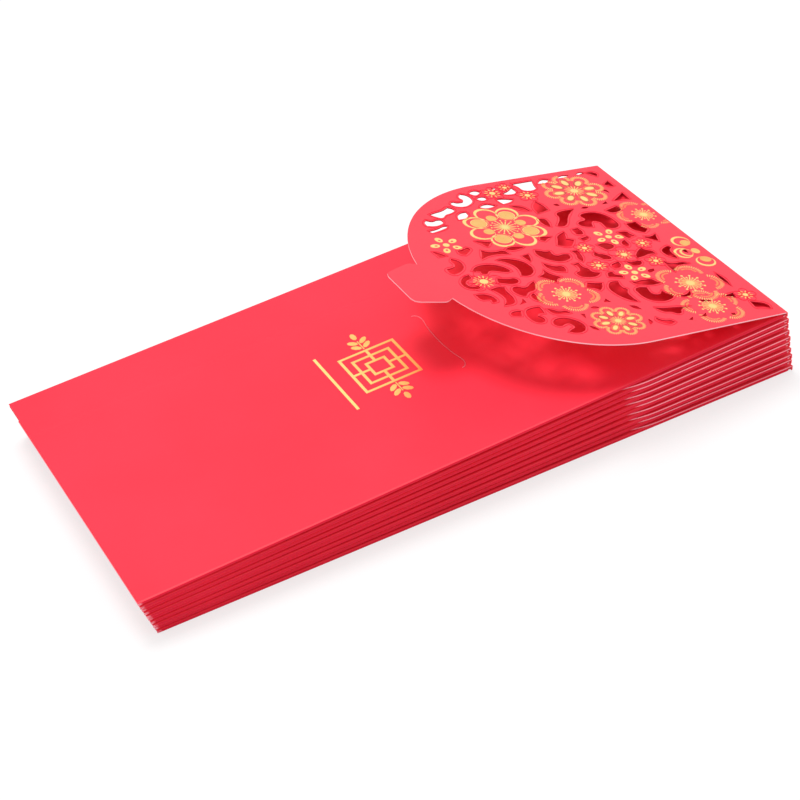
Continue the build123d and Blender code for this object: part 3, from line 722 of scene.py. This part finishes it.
flap_loops, flap_heights = sheet_loops(flap_node, raised_flap)
card = max(flap_heights) - min(flap_heights)
print(len(flap_loops) - 1, "windows in card", round(card, 3), "mm thick")

# %% [markdown]
# ## Corners drawn out again
# Each corner of a solid window is eased by a short straight piece. On the real lace the sides run on
# until they meet. So every second side, which is a long one, is followed to where it meets the next.

# %% Draw out the eased corners
IN_LINE = 0.02


def meeting_point(start, end, next_start, next_end):
    """Where two sides of an outline would meet, or nothing if they are in line."""
    run, next_run = end - start, next_end - next_start
    turn = run.cross(next_run)
    if abs(turn) < IN_LINE * run.length * next_run.length:
        return None
    return start + run * ((next_start - start).cross(next_run) / turn)


def drawn_corners(row):
    """The corners of a window before they were eased: where its longer sides would meet."""
    sides = list(zip(row, row[1:] + row[:1]))
    lengths = [(end - start).length for start, end in sides]
    first_long = 1 if sum(lengths[1::2]) > sum(lengths[0::2]) else 0
    sides = sides[first_long::2]
    corners = []
    for (start, end), (next_start, next_end) in zip(sides, sides[1:] + sides[:1]):
        meet = meeting_point(start, end, next_start, next_end)
        corners.append((end + next_start) / 2 if meet is None else meet)
    return corners


drawn_windows = [drawn_corners(row) for row in flap_loops[1:]]
print(sum(len(row) for row in drawn_windows), "corners round the windows")

# %% [markdown]
# ## Windows as wide as the cut
# The knife takes away a hair of card on its way round, so a real window is a little wider than it
# was drawn. Scaling a window would widen its long side most. Here each corner moves out by the same
# hair, square to the line between its two neighbours.

# %% Widen the windows by the kerf
KERF = 0.15


def doubled_area(row):
    """Twice the area inside a closed row of corners, below zero where it runs clockwise."""
    return sum(here.cross(after) for here, after in zip(row, row[1:] + row[:1]))


def outward_ways(row):
    """The way out of a window at each of its corners."""
    runs = [row[(place + 1) % len(row)] - row[place - 1] for place in range(len(row))]
    winding = math.copysign(1, doubled_area(row))
    return [Vector((run.y, -run.x)).normalized() * winding for run in runs]


def widened(row, distance):
    """A window with every corner moved outwards."""
    return [here + distance * way for here, way in zip(row, outward_ways(row))]


windows = [widened(row, KERF) for row in drawn_windows]
open_area = sum(abs(doubled_area(row)) / 2 for row in windows)
print(len(windows), "windows, together", round(open_area), "square mm open")

# %% [markdown]
# ## The lock tab
# The tab at the tip of the flap slips into the slit of the panel. Its two tips are tight corners,
# and the solid eases them more. So the tip's side and the tab's side are followed to where they
# meet, and three points make a small corner there. The row of corners is then turned round, so the
# same function makes the second tip.

# %% Small corners on the tips of the tab
STRAIGHT_RUN = 3.8
TAB_CORNER = 1.8
CORNER_CUT = 0.25


def neat_tip(row):
    """An outline with the first tip after its start drawn out to a small corner, turned round."""
    side = next(place for place in range(len(row))
                if (row[place + 1] - row[place]).length > STRAIGHT_RUN)
    corner = meeting_point(row[-1], row[0], row[side], row[side + 1])
    along_tip = (row[-1] - row[0]).normalized() * TAB_CORNER
    along_side = (row[side + 1] - row[side]).normalized() * TAB_CORNER
    inside = corner + (along_tip + along_side) * CORNER_CUT
    row = [corner + along_tip, inside, corner + along_side] + row[side + 1:]
    return row[::-1]


def neat_tab(row):
    """The outline of the flap with both tips of its lock tab drawn out to small corners."""
    tip = min(corner.x for corner in row)
    start = next(place for place, corner in enumerate(row)
                 if max(corner.x, row[place - 1].x) < tip + IN_LINE)
    return neat_tip(neat_tip(row[start:] + row[:start]))


flap_outline = neat_tab(flap_loops[0])
print(len(flap_outline), "corners round the flap")

# %% [markdown]
# ## Smooth lines for the die
# A die is bent from thin steel, so its lines are smooth and only the tips are sharp. Many short
# sides could hide the corners, but a Bezier spline needs few points. Its handles are automatic where
# the line bends gently, and straight where it turns hard or runs straight for a long way.

# %% Splines for the lace
SHARP_TURN = math.radians(30)
TIP_TURN = math.radians(75)
SPLINE_STEPS = 4


def add_spline(curve, row, sharp_turn, straight_run=math.inf):
    """A closed spline through a row of corners, sharp at hard turns and straight along long runs."""
    spline = curve.splines.new("BEZIER")
    spline.bezier_points.add(len(row) - 1)
    for place, point in enumerate(spline.bezier_points):
        here = row[place]
        runs = here - row[place - 1], row[(place + 1) % len(row)] - here
        sharp = abs(runs[0].angle_signed(runs[1])) > sharp_turn
        kinds = ["VECTOR" if sharp or run.length > straight_run else "AUTO" for run in runs]
        point.co = (*here, 0)
        point.handle_left_type, point.handle_right_type = kinds
    spline.use_cyclic_u = True
    spline.resolution_u = SPLINE_STEPS


def new_curve(name):
    """An empty curve in space, which splines are added to."""
    curve = bpy.data.curves.new(name, "CURVE")
    curve.dimensions = "3D"
    return curve


lace_curve = new_curve("lace_lines")
add_spline(lace_curve, flap_outline, SHARP_TURN, STRAIGHT_RUN)
for row in windows:
    add_spline(lace_curve, row, TIP_TURN)
print(len(lace_curve.splines), "closed splines")

# %% [markdown]
# ## A tree for a die-cut sheet
# The lines enclose a flat sheet with holes. A node tree fills them, sinks the sheet by half the
# thickness of the card and raises it by the whole, so it lies evenly about its middle. The under
# side is the same fill with its faces turned round. Merging close points shuts the sheet all round,
# which a boolean for each window would do more slowly and less cleanly.

# %% Node tree for a die-cut sheet
HALF = 0.5
MERGE_DISTANCE = 0.0005
sheet_tree, given, result = new_group(
    "die_cut_sheet", "GeometryNodeTree",
    {"Lines": "Geometry", "Card": "Float", "Face": "Material", "Wall": "Material",
     "Edge": "Material"},
    {"Sheet": "Geometry"})
fill = add_node(sheet_tree, "GeometryNodeFillCurve", {"Curve": given["Lines"]})
sink = add_node(sheet_tree, "ShaderNodeCombineXYZ",
                {"Z": maths(sheet_tree, "MULTIPLY", given["Card"], -HALF)})
base = add_node(sheet_tree, "GeometryNodeTransform",
                {"Geometry": fill.outputs[0], "Translation": sink.outputs[0]})
raise_card = add_node(sheet_tree, "GeometryNodeExtrudeMesh",
                      {"Mesh": base.outputs[0], "Offset Scale": given["Card"], "Individual": False})
under = add_node(sheet_tree, "GeometryNodeFlipFaces", {"Mesh": base.outputs[0]})
whole = add_node(sheet_tree, "GeometryNodeJoinGeometry")
sheet_tree.links.new(raise_card.outputs["Mesh"], whole.inputs[0])
sheet_tree.links.new(under.outputs[0], whole.inputs[0])
closed = add_node(sheet_tree, "GeometryNodeMergeByDistance",
                  {"Geometry": whole.outputs[0], "Distance": MERGE_DISTANCE})
print("tree", sheet_tree.name, "fills and raises with", len(sheet_tree.nodes), "nodes")

# %% [markdown]
# ## Face, walls and pale outline
# The sheet has three finishes: red card on its faces, a deep red of painted shade on the walls of its
# windows, and the pale cut edge on the wall round its outline. A face is a wall if it looks sideways.
# It belongs to the outline, which is the spline with the number nought, if that is nearer than the
# card is thick.

# %% Finishes of the sheet
WALL_LIMIT = 0.5
index = add_node(sheet_tree, "GeometryNodeInputIndex")
is_outline = maths(sheet_tree, "LESS_THAN", index.outputs[0], HALF)
outline = add_node(sheet_tree, "GeometryNodeSeparateGeometry",
                   {"Geometry": given["Lines"], "Selection": is_outline}, domain="CURVE")
outline = add_node(sheet_tree, "GeometryNodeCurveToMesh", {"Curve": outline.outputs["Selection"]})
nearest = add_node(sheet_tree, "GeometryNodeProximity", {0: outline.outputs[0]},
                   target_element="EDGES")
on_outline = maths(sheet_tree, "LESS_THAN", nearest.outputs["Distance"], given["Card"])
normal = add_node(sheet_tree, "GeometryNodeInputNormal")
facing = add_node(sheet_tree, "ShaderNodeSeparateXYZ", {0: normal.outputs[0]})
flatness = maths(sheet_tree, "ABSOLUTE", facing.outputs["Z"])
is_wall = maths(sheet_tree, "LESS_THAN", flatness, WALL_LIMIT)
is_edge = maths(sheet_tree, "MULTIPLY", is_wall, on_outline)
real = add_node(sheet_tree, "GeometryNodeRealizeInstances", {"Geometry": closed.outputs[0]})
coated = add_node(sheet_tree, "GeometryNodeSetMaterial",
                  {"Geometry": real.outputs[0], "Material": given["Face"]})
for chosen, finish in ((is_wall, "Wall"), (is_edge, "Edge")):
    coated = add_node(sheet_tree, "GeometryNodeSetMaterial",
                      {"Geometry": coated.outputs[0], "Selection": chosen,
                       "Material": given[finish]})
sheet_tree.links.new(coated.outputs[0], result["Sheet"])
print("tree", sheet_tree.name, "with", len(sheet_tree.nodes), "nodes")

# %% [markdown]
# ## From a tree to a plain mesh
# A node tree works in a modifier, but the finished piece has to be a plain mesh. The helper hangs the
# tree on a new object, sets its inputs before anything is worked out, and keeps only the result.
# Empty material slots, which the host brings along, are taken out.

# %% Grow the lace sheet
def grown_mesh(host_data, tree, values):
    """Run a node tree on a new object and return the result as a plain mesh."""
    host = bpy.data.objects.new(f"{tree.name}_host", host_data)
    bpy.context.collection.objects.link(host)
    modifier = host.modifiers.new(tree.name, "NODES")
    modifier.node_group = tree
    for item in tree.interface.items_tree:
        if item.item_type == "SOCKET" and item.in_out == "INPUT" and item.name in values:
            modifier[item.identifier] = values[item.name]
    depsgraph = bpy.context.evaluated_depsgraph_get()
    mesh = bpy.data.meshes.new_from_object(host.evaluated_get(depsgraph))
    host.modifiers.remove(modifier)
    bpy.data.objects.remove(host)
    for slot in reversed(range(len(mesh.materials))):
        if mesh.materials[slot] is None:
            mesh.materials.pop(index=slot)
    return mesh


lace = grown_mesh(lace_curve, sheet_tree,
                  {"Card": card, "Face": red_card, "Wall": wall_shade_card, "Edge": cut_edge})
for place, material in enumerate(lace.materials):
    faces = sum(face.material_index == place for face in lace.polygons)
    print("lace:", faces, "faces of", material.name)

# %% [markdown]
# ## Pressed lines round the windows
# The press that cuts the lace also raises a fine line a little way outside each larger window, which
# makes the scrolls look like stems. A bump in the material could hint at it, but real beads show in
# the shape of the model too. The windows are widened once more and become splines of their own.

# %% Lines outside the larger windows
PRESS_DISTANCE = 0.5
LEAST_PRESSED = 3.0
press_curve = new_curve("pressed_lines")
for row in windows:
    if abs(doubled_area(row)) > 2 * LEAST_PRESSED:
        add_spline(press_curve, widened(row, PRESS_DISTANCE), TIP_TURN)
print(len(press_curve.splines), "pressed lines")

# %% [markdown]
# ## Petals of the small flowers
# The small flowers have five round petals that are pressed into the card and carry no foil. Each is
# a ring of a few points, added to the same curve, so that the lines and the petals are swept alike.
# A flower's place is its way from the crease, its way from the middle and its radius, in millimetres.
# The whole pattern sits a millimetre off the middle of the flap, which LACE_DRIFT takes up.

# %% Petals round the small flowers
FULL = 360.0
LACE_DRIFT = 1.0
LINE_FLOWERS = [(64.7, -3.3, 4.5), (22.6, -2.9, 3.5)]
TINY_FLOWERS = [
    (30.6, 3.4, 2.5), (32.3, -5.7, 2.6), (14.3, 0.8, 2.4), (16.5, -8.4, 2.5), (4.8, -30.7, 2.6),
    (29.0, 33.7, 2.8), (37.6, 37.7, 3.0), (32.6, 39.6, 2.2),
]
PRESSED_PETALS = 5
PETAL_REACH = 0.76
PETAL_RADIUS = 0.42
PETAL_CORNERS = 8


def turned(length, degrees):
    """A step of some length in a direction on the flat flap."""
    return Vector((length * math.cos(math.radians(degrees)), length * math.sin(math.radians(degrees))))


for along, across, radius in LINE_FLOWERS + TINY_FLOWERS:
    for petal in range(PRESSED_PETALS):
        middle = Vector((-along, across - LACE_DRIFT))
        middle += turned(PETAL_REACH * radius, FULL * petal / PRESSED_PETALS)
        ring = [middle + turned(PETAL_RADIUS * radius, FULL * corner / PETAL_CORNERS)
                for corner in range(PETAL_CORNERS)]
        add_spline(press_curve, ring, TIP_TURN)
print(len(press_curve.splines), "pressed lines with the petals")

# %% [markdown]
# ## Rays and beads
# Two jobs come back in the next trees, so each is a function that adds the nodes for it. One casts a
# ray down from above a point, to find out whether there is card below. The other sweeps a thin round
# section along lines, which makes a bead.

# %% Nodes for a ray and for a bead
RAY_START = (0, 0, 1)
RAY_WAY = (0, 0, -1)
RAY_LENGTH = 3.0
BEAD_SIDES = 6


def card_below(tree, card_object):
    """Whether a ray from above meets the card at a point."""
    below = add_node(tree, "GeometryNodeObjectInfo", {"Object": card_object})
    here = add_node(tree, "GeometryNodeInputPosition")
    above = add_node(tree, "ShaderNodeVectorMath", {0: here.outputs[0], 1: RAY_START}, operation="ADD")
    ray = add_node(tree, "GeometryNodeRaycast",
                   {"Target Geometry": below.outputs["Geometry"], "Source Position": above.outputs[0],
                    "Ray Direction": RAY_WAY, "Ray Length": RAY_LENGTH})
    return ray.outputs["Is Hit"]


def swept_bead(tree, lines, radius, finish):
    """A thin round section swept along lines, with a material."""
    section = add_node(tree, "GeometryNodeCurvePrimitiveCircle",
                       {"Resolution": BEAD_SIDES, "Radius": radius})
    bead = add_node(tree, "GeometryNodeCurveToMesh",
                    {"Curve": lines, "Profile Curve": section.outputs[0]})
    bead = add_node(tree, "GeometryNodeRealizeInstances", {"Geometry": bead.outputs[0]})
    bead = add_node(tree, "GeometryNodeSetMaterial",
                    {"Geometry": bead.outputs[0], "Material": finish})
    return bead.outputs[0]


print("rays are", RAY_LENGTH, "mm long, and beads have", BEAD_SIDES, "sides")

# %% [markdown]
# ## A tree that keeps the lines on the card
# Two windows can lie so close that the line of one would cross the other, so points without card
# below are deleted. The lines become plain edges first, because deleting a point of an edge chain
# opens the chain there, while a curve would close the gap with a straight run. A bead is swept along
# what is left.

# %% Node tree for pressed lines
press_tree, given, result = new_group(
    "pressed_line", "GeometryNodeTree",
    {"Lines": "Geometry", "Card": "Object", "Radius": "Float", "Face": "Material"},
    {"Beads": "Geometry"})
chain = add_node(press_tree, "GeometryNodeCurveToMesh", {"Curve": given["Lines"]})
off_card = add_node(press_tree, "FunctionNodeBooleanMath",
                    {0: card_below(press_tree, given["Card"])}, operation="NOT")
chain = add_node(press_tree, "GeometryNodeDeleteGeometry",
                 {"Geometry": chain.outputs[0], "Selection": off_card.outputs[0]}, domain="POINT")
line = add_node(press_tree, "GeometryNodeMeshToCurve", {"Mesh": chain.outputs[0]})
beads = swept_bead(press_tree, line.outputs[0], given["Radius"], given["Face"])
press_tree.links.new(beads, result["Beads"])
print("tree", press_tree.name, "with", len(press_tree.nodes), "nodes")

# %% [markdown]
# ## Lines and lace in one sheet
# The pressed lines are the same card as the lace, so both become one mesh. The lines sit with their
# lower half in the sheet and have a material slot of their own, in the deeper red of painted shade.
# A plain object of the lace is kept for a while, as the target for the rays of the lines and the foil.

# %% Join the pressed lines to the lace
PRESS_RADIUS = 0.095
lace_target = bpy.data.objects.new("lace_target", lace.copy())
bpy.context.collection.objects.link(lace_target)
pressed = grown_mesh(press_curve, press_tree,
                     {"Card": lace_target, "Radius": PRESS_RADIUS, "Face": shaded_pressed_card})
pressed.transform(Matrix.Translation((0, 0, card / 2)))
line_slot = len(lace.materials)
pressed.polygons.foreach_set("material_index", [line_slot] * len(pressed.polygons))
sheet = bmesh.new()
sheet.from_mesh(lace)
sheet.from_mesh(pressed)
sheet.to_mesh(lace)
sheet.free()
lace.materials.append(shaded_pressed_card)
print(len(pressed.polygons), "faces of pressed lines on a lace of", len(lace.polygons))

# %% [markdown]
# ## Flaps on all ten envelopes
# Every envelope has the same flap, and the nine lower ones lie closed under their neighbours. The
# sheet is copied to each, flat on its front panel, together with the spine at the mouth. The top
# one takes the raised place, and its rim is painted paler, as a painted highlight where it catches
# the light. The lower solids held only a few windows, so the copies stand for them.

# %% Place the flaps
SPINE_TURN = 1.0
top_frame = envelope_frames[TOP]
hinge_on_envelope = top_frame.inverted() @ Vector(hinge["pos_m"])


def closed_flap(name):
    """Where a closed flap hangs on its envelope."""
    return envelope_frames[name] @ Matrix.Translation(hinge_on_envelope) @ Matrix.Scale(MM, 4)


def flap_with_spine(name):
    """The lace sheet and the spine at the mouth as one piece of card."""
    shape = merged_copy(f"{TOP}_mouth_crease")
    shade_smooth(shape, SPINE_TURN)
    shape.transform(closed_flap(name).inverted() @ envelope_frames[name] @ top_frame.inverted())
    shape.from_mesh(lace)
    mesh = plain_mesh(shape, f"{name}_lace_flap", lace.materials)
    mesh.transform(closed_flap(name))
    return mesh


for name in ENVELOPES[:-1]:
    new_piece(f"{name}_lace_flap", flap_with_spine(name), name, "red_card", f"{name}_closure_flap")
raised_lace = lace.copy()
raised_lace.transform(raised_flap)
# the raised flap's rim takes a paler cut edge, which is a painted highlight
edge_slot = list(raised_lace.materials).index(cut_edge)
raised_lace.materials[edge_slot] = rim_highlight_edge
new_piece(f"{TOP}_lace_flap", raised_lace, "open_flap", "red_card", flap_node)
print("flaps placed, each of", len(lace.polygons), "faces")

# %% [markdown]
# ## The lip of the slit
# The slit in the front panel takes the tab of the closed flap. The knife lifts the card a little on
# both sides of its cut, and the lifted lip catches the light as a thin pale line. It could be painted
# on, but a very thin bead swept along the cut also throws light and shade from other sides. A node
# tree sweeps it along the cut that is read from the panel.

# %% Sweep a bead along the slit
LIP_RADIUS = 0.035
panel_place = top_frame @ Matrix.Scale(MM, 4)
panel_loops, panel_heights = sheet_loops(f"{TOP}_front_panel", panel_place)
slit_curve = new_curve("slit_line")
add_spline(slit_curve, panel_loops[1], TIP_TURN)

lip_tree, given, result = new_group(
    "slit_lip", "GeometryNodeTree",
    {"Lines": "Geometry", "Radius": "Float", "Card": "Material"}, {"Lip": "Geometry"})
bead = swept_bead(lip_tree, given["Lines"], given["Radius"], given["Card"])
lip_tree.links.new(bead, result["Lip"])

lip = grown_mesh(slit_curve, lip_tree, {"Radius": LIP_RADIUS, "Card": cut_edge})
lip.transform(panel_place @ Matrix.Translation((0, 0, max(panel_heights))))
new_piece(f"{TOP}_slit_lip", lip, TOP, "red_card")
print("lip of", len(lip.polygons), "faces along", len(panel_loops[1]), "corners of the slit")

# %% [markdown]
# ## Foil flowers
# The flowers are stamped on the flap as many small plates of foil: petal outlines, discs, rays and
# strokes. All of them are ovals, full or hollow, that stand in rings, so one node tree can make any
# of them. It starts with a single plate: an oval, a smaller oval in it if the plate is hollow, both
# filled and raised by the film.

# %% Node tree for one foil plate
PLATE_STEPS = 18
LEAST_HOLE = 0.01
foil_tree, given, result = new_group(
    "foil_ring", "GeometryNodeTree",
    {"Host": "Geometry", "Card": "Object", "Centre": "Vector", "Count": "Int", "Reach": "Float",
     "Length": "Float", "Width": "Float", "Hole": "Float", "Shift": "Float", "Turn": "Float",
     "Arc": "Float", "Tone": "Float", "Film": "Float", "Foil": "Material"},
    {"Plates": "Geometry"})
rim = add_node(foil_tree, "GeometryNodeCurvePrimitiveCircle",
               {"Resolution": PLATE_STEPS, "Radius": HALF})
hole_size = add_node(foil_tree, "ShaderNodeCombineXYZ",
                     {"X": given["Hole"], "Y": given["Hole"], "Z": 1.0})
hole_place = add_node(foil_tree, "ShaderNodeCombineXYZ", {"X": given["Shift"]})
hole = add_node(foil_tree, "GeometryNodeTransform",
                {"Geometry": rim.outputs[0], "Translation": hole_place.outputs[0],
                 "Scale": hole_size.outputs[0]})
ring = add_node(foil_tree, "GeometryNodeJoinGeometry")
foil_tree.links.new(rim.outputs[0], ring.inputs[0])
foil_tree.links.new(hole.outputs[0], ring.inputs[0])
is_hollow = maths(foil_tree, "GREATER_THAN", given["Hole"], LEAST_HOLE)
lines = add_node(foil_tree, "GeometryNodeSwitch",
                 {"Switch": is_hollow, "False": rim.outputs[0], "True": ring.outputs[0]},
                 input_type="GEOMETRY")
plate = add_node(foil_tree, "GeometryNodeFillCurve", {"Curve": lines.outputs[0]})
plate_size = add_node(foil_tree, "ShaderNodeCombineXYZ",
                      {"X": given["Length"], "Y": given["Width"], "Z": 1.0})
plate = add_node(foil_tree, "GeometryNodeTransform",
                 {"Geometry": plate.outputs[0], "Scale": plate_size.outputs[0]})
film = add_node(foil_tree, "GeometryNodeExtrudeMesh",
                {"Mesh": plate.outputs[0], "Offset Scale": given["Film"], "Individual": False})
print("plate of", PLATE_STEPS, "sides")

# %% [markdown]
# ## A ring of plates
# The plates stand on points of a circle or of a part of it, and each is turned to look outwards.
# The number of a point gives its share of the arc. A ray cast down at each point tells whether there
# is card under it, because no foil can stick over a window. The tone is stored on the finished
# plates, where the material reads it.

# %% Where the plates go
index = add_node(foil_tree, "GeometryNodeInputIndex")
part = maths(foil_tree, "ADD", index.outputs[0], HALF)
part = maths(foil_tree, "DIVIDE", part, given["Count"])
part = maths(foil_tree, "SUBTRACT", part, HALF)
angle = maths(foil_tree, "MULTIPLY_ADD", part, given["Arc"], given["Turn"])
spin = add_node(foil_tree, "ShaderNodeCombineXYZ", {"Z": angle})
out = add_node(foil_tree, "ShaderNodeCombineXYZ", {"X": given["Reach"]})
swing = add_node(foil_tree, "ShaderNodeVectorRotate",
                 {"Vector": out.outputs[0], "Rotation": spin.outputs[0]}, rotation_type="EULER_XYZ")
spot = add_node(foil_tree, "ShaderNodeVectorMath", {0: swing.outputs[0], 1: given["Centre"]},
                operation="ADD")
spots = add_node(foil_tree, "GeometryNodePoints",
                 {"Count": given["Count"], "Position": spot.outputs[0]})
plates = add_node(foil_tree, "GeometryNodeInstanceOnPoints",
                  {"Points": spots.outputs[0], "Selection": card_below(foil_tree, given["Card"]),
                   "Instance": film.outputs["Mesh"], "Rotation": spin.outputs[0]})
real = add_node(foil_tree, "GeometryNodeRealizeInstances", {"Geometry": plates.outputs[0]})
toned = add_node(foil_tree, "GeometryNodeStoreNamedAttribute",
                 {"Geometry": real.outputs[0], "Name": "tone", "Value": given["Tone"]},
                 data_type="FLOAT", domain="POINT")
coated = add_node(foil_tree, "GeometryNodeSetMaterial",
                  {"Geometry": toned.outputs[0], "Material": given["Foil"]})
foil_tree.links.new(coated.outputs[0], result["Plates"])
print("tree", foil_tree.name, "with", len(foil_tree.nodes), "nodes")

# %% [markdown]
# ## A flower as a list of rings
# A flower is a short list of rings, with sizes as shares of its radius, so one kind serves large and
# small flowers alike. Hatched petals are rows of short strokes on an arc round the middle of each
# petal.

# %% One ring and one flower
def foil_ring(count, reach, length, width, hole=0.0, shift=0.0, turn=0.0, arc=FULL, tone=0.8):
    """One ring of plates, with sizes as shares of the flower's radius."""
    return dict(Count=count, Reach=reach, Length=length, Width=width, Hole=hole, Shift=shift,
                Turn=turn, Arc=arc, Tone=tone)


def flower(rings, petals=0, petal_reach=0.0, petal_rows=()):
    """A kind of flower: rings round its middle, and rows of strokes round the middle of each petal."""
    return dict(rings=rings, petals=petals, petal_reach=petal_reach, petal_rows=petal_rows)


print("a ring has", len(foil_ring(1, 0, 1, 1)), "values")

# %% [markdown]
# ## Rosettes and blossoms
# The large rosette has outlined lobes with discs in them. The small rosettes have drops in hatched
# lobes, and the plum blossoms have five hatched petals and long stamens with a dot at each end.

# %% Kinds of large flowers
LARGE_ROSETTE = flower([
    foil_ring(8, 0.67, 0.62, 0.56, hole=0.86, shift=-0.06, turn=32.5, tone=0.95),
    foil_ring(4, 0.60, 0.40, 0.40, hole=0.9, turn=10, tone=1.0),
    foil_ring(4, 0.60, 0.35, 0.35, turn=10, tone=0.35),
    foil_ring(4, 0.48, 0.26, 0.25, turn=55, tone=0.35),
    foil_ring(16, 0.18, 0.22, 0.03, tone=0.9),
    foil_ring(16, 0.32, 0.045, 0.045, tone=1.0),
    foil_ring(1, 0.0, 0.24, 0.24, tone=1.0),
])
SMALL_ROSETTE = flower([
    foil_ring(8, 0.52, 0.32, 0.18, turn=22.5, tone=1.0),
    foil_ring(8, 0.52, 0.42, 0.28, hole=0.86, turn=22.5, tone=0.05),
    foil_ring(16, 0.2, 0.2, 0.035, tone=0.8),
    foil_ring(1, 0.0, 0.24, 0.24, tone=1.0),
], petals=8, petal_reach=0.7, petal_rows=[foil_ring(17, 0.23, 0.13, 0.034, arc=235, tone=0.8)])
PLUM_BLOSSOM = flower([
    foil_ring(11, 0.25, 0.28, 0.038, tone=0.9),
    foil_ring(11, 0.42, 0.075, 0.075, tone=1.0),
    foil_ring(11, 0.2, 0.18, 0.03, turn=16.4, tone=0.7),
    foil_ring(11, 0.31, 0.06, 0.06, turn=16.4, tone=1.0),
    foil_ring(1, 0.0, 0.28, 0.28, tone=1.0),
], petals=5, petal_reach=0.58, petal_rows=[
    foil_ring(16, 0.38, 0.14, 0.029, arc=160, tone=0.85),
    foil_ring(11, 0.245, 0.07, 0.024, arc=120, tone=0.4),
])
print("a plum blossom has", len(PLUM_BLOSSOM["rings"]), "rings")

# %% [markdown]
# ## Small flowers
# The dot flowers are five hollow drops round a disc, and the smallest ones only rays round a disc.
# One rosette is cut off by the crease, so only the half of it that lies on the flap is stamped.

# %% Kinds of small flowers
DOT_FLOWER = flower([
    foil_ring(5, 0.68, 0.58, 0.42, hole=0.34, shift=-0.1, tone=1.0),
    foil_ring(1, 0.0, 0.4, 0.4, tone=1.0),
])
LINE_FLOWER = flower([
    foil_ring(14, 0.46, 0.36, 0.07, tone=0.7),
    foil_ring(1, 0.0, 0.5, 0.5, tone=1.0),
])
TINY_FLOWER = flower([
    foil_ring(10, 0.56, 0.44, 0.13, tone=0.55),
    foil_ring(1, 0.0, 0.56, 0.56, tone=1.0),
])
CREASE_ROSETTE = flower([
    foil_ring(3, 0.84, 0.64, 0.66, hole=0.84, shift=-0.07, turn=180, arc=171, tone=0.9),
    foil_ring(2, 0.68, 0.34, 0.38, turn=180, arc=228, tone=0.3),
    foil_ring(1, 0.72, 0.44, 0.5, hole=0.8, shift=-0.09, turn=180, tone=0.7),
    foil_ring(1, 0.36, 0.28, 0.34, turn=180, tone=0.6),
])
print("a crease rosette has", len(CREASE_ROSETTE["rings"]), "rings")

# %% [markdown]
# ## Which flower goes where
# The flowers are scattered over the flap, each with a kind, a way from the crease, a way from the
# middle, a radius and a turn. These are given one by one, so they are a list. The small flowers take
# the places that already have pressed petals.

# %% Places of the flowers
FLOWERS = [
    (LARGE_ROSETTE, 44.5, 19.9, 11.3, 0), (SMALL_ROSETTE, 15.0, 32.1, 9.3, 0),
    (SMALL_ROSETTE, 43.3, -30.7, 6.9, 0), (CREASE_ROSETTE, 0.3, -7.3, 8.0, 0),
    (PLUM_BLOSSOM, 48.3, -15.4, 8.2, 44), (PLUM_BLOSSOM, 14.8, -21.0, 8.8, 58),
    (PLUM_BLOSSOM, 16.4, -32.6, 8.0, 90), (PLUM_BLOSSOM, 4.5, 14.3, 7.6, 30),
    (DOT_FLOWER, 64.2, 16.2, 4.4, 100), (DOT_FLOWER, 21.0, 6.6, 4.3, 270),
    (DOT_FLOWER, 25.4, -11.8, 4.3, 90),
]
FLOWERS += [(LINE_FLOWER, *place, 0) for place in LINE_FLOWERS]
FLOWERS += [(TINY_FLOWER, *place, 0) for place in TINY_FLOWERS]
print(len(FLOWERS), "flowers on a flap")

# %% [markdown]
# ## Stamping the flowers
# A real stamp presses all the foil at once. Here the rings are grown one by one on the flat lace,
# where their rays find the card, and all the plates are gathered in one mesh, which is the foil of
# one flap.

# %% Stamp the flowers
FILM = 0.03


def stamp(ring, centre, radius, turn):
    """One ring of plates on the flat lace, in millimetres."""
    values = dict(ring)
    for size in ("Reach", "Length", "Width"):
        values[size] *= radius
    values["Turn"] = math.radians(ring["Turn"] + turn)
    values["Arc"] = math.radians(ring["Arc"])
    values.update(Centre=(*centre, card / 2), Card=lace_target, Film=FILM, Foil=flower_foil)
    return grown_mesh(bpy.data.meshes.new("ring"), foil_tree, values)


flower_plates = bmesh.new()
for kind, along, across, radius, turn in FLOWERS:
    centre = Vector((-along, across - LACE_DRIFT))
    stamped = [stamp(ring, centre, radius, turn) for ring in kind["rings"]]
    for petal in range(kind["petals"]):
        lean = turn + FULL * petal / kind["petals"]
        petal_centre = centre + turned(kind["petal_reach"] * radius, lean)
        stamped += [stamp(row, petal_centre, radius, lean) for row in kind["petal_rows"]]
    for mesh in stamped:
        flower_plates.from_mesh(mesh)
        bpy.data.meshes.remove(mesh)
bpy.data.objects.remove(lace_target)
flowers = plain_mesh(flower_plates, "foil_flowers", [flower_foil])
print(len(flowers.polygons), "faces of foil on a flap")

# %% [markdown]
# ## Foil on all ten envelopes
# The same dies stamp every envelope. The flowers go to each flap, and the ornament on the front
# panel is copied from the top envelope to the others, which show when the pack is lifted apart.

# %% Place the foil
def foil_flowers(place):
    """A copy of the flowers on one flap."""
    mesh = flowers.copy()
    mesh.transform(place)
    return mesh


def foil_emblem(name):
    """A copy of the top envelope's ornament on another front panel."""
    shape = merged_copy(f"{TOP}_emblem_foil")
    shape.transform(envelope_frames[name] @ top_frame.inverted())
    return plain_mesh(shape, f"{name}_emblem", [emblem_foil])


new_piece(f"{TOP}_flap_flowers", foil_flowers(raised_flap), "open_flap", "gold_foil",
          f"{TOP}_flap_foil")
for name in ENVELOPES[:-1]:
    new_piece(f"{name}_flap_flowers", foil_flowers(closed_flap(name)), name, "gold_foil")
    new_piece(f"{name}_emblem", foil_emblem(name), name, "gold_foil")
print("foil on", len(ENVELOPES), "envelopes")
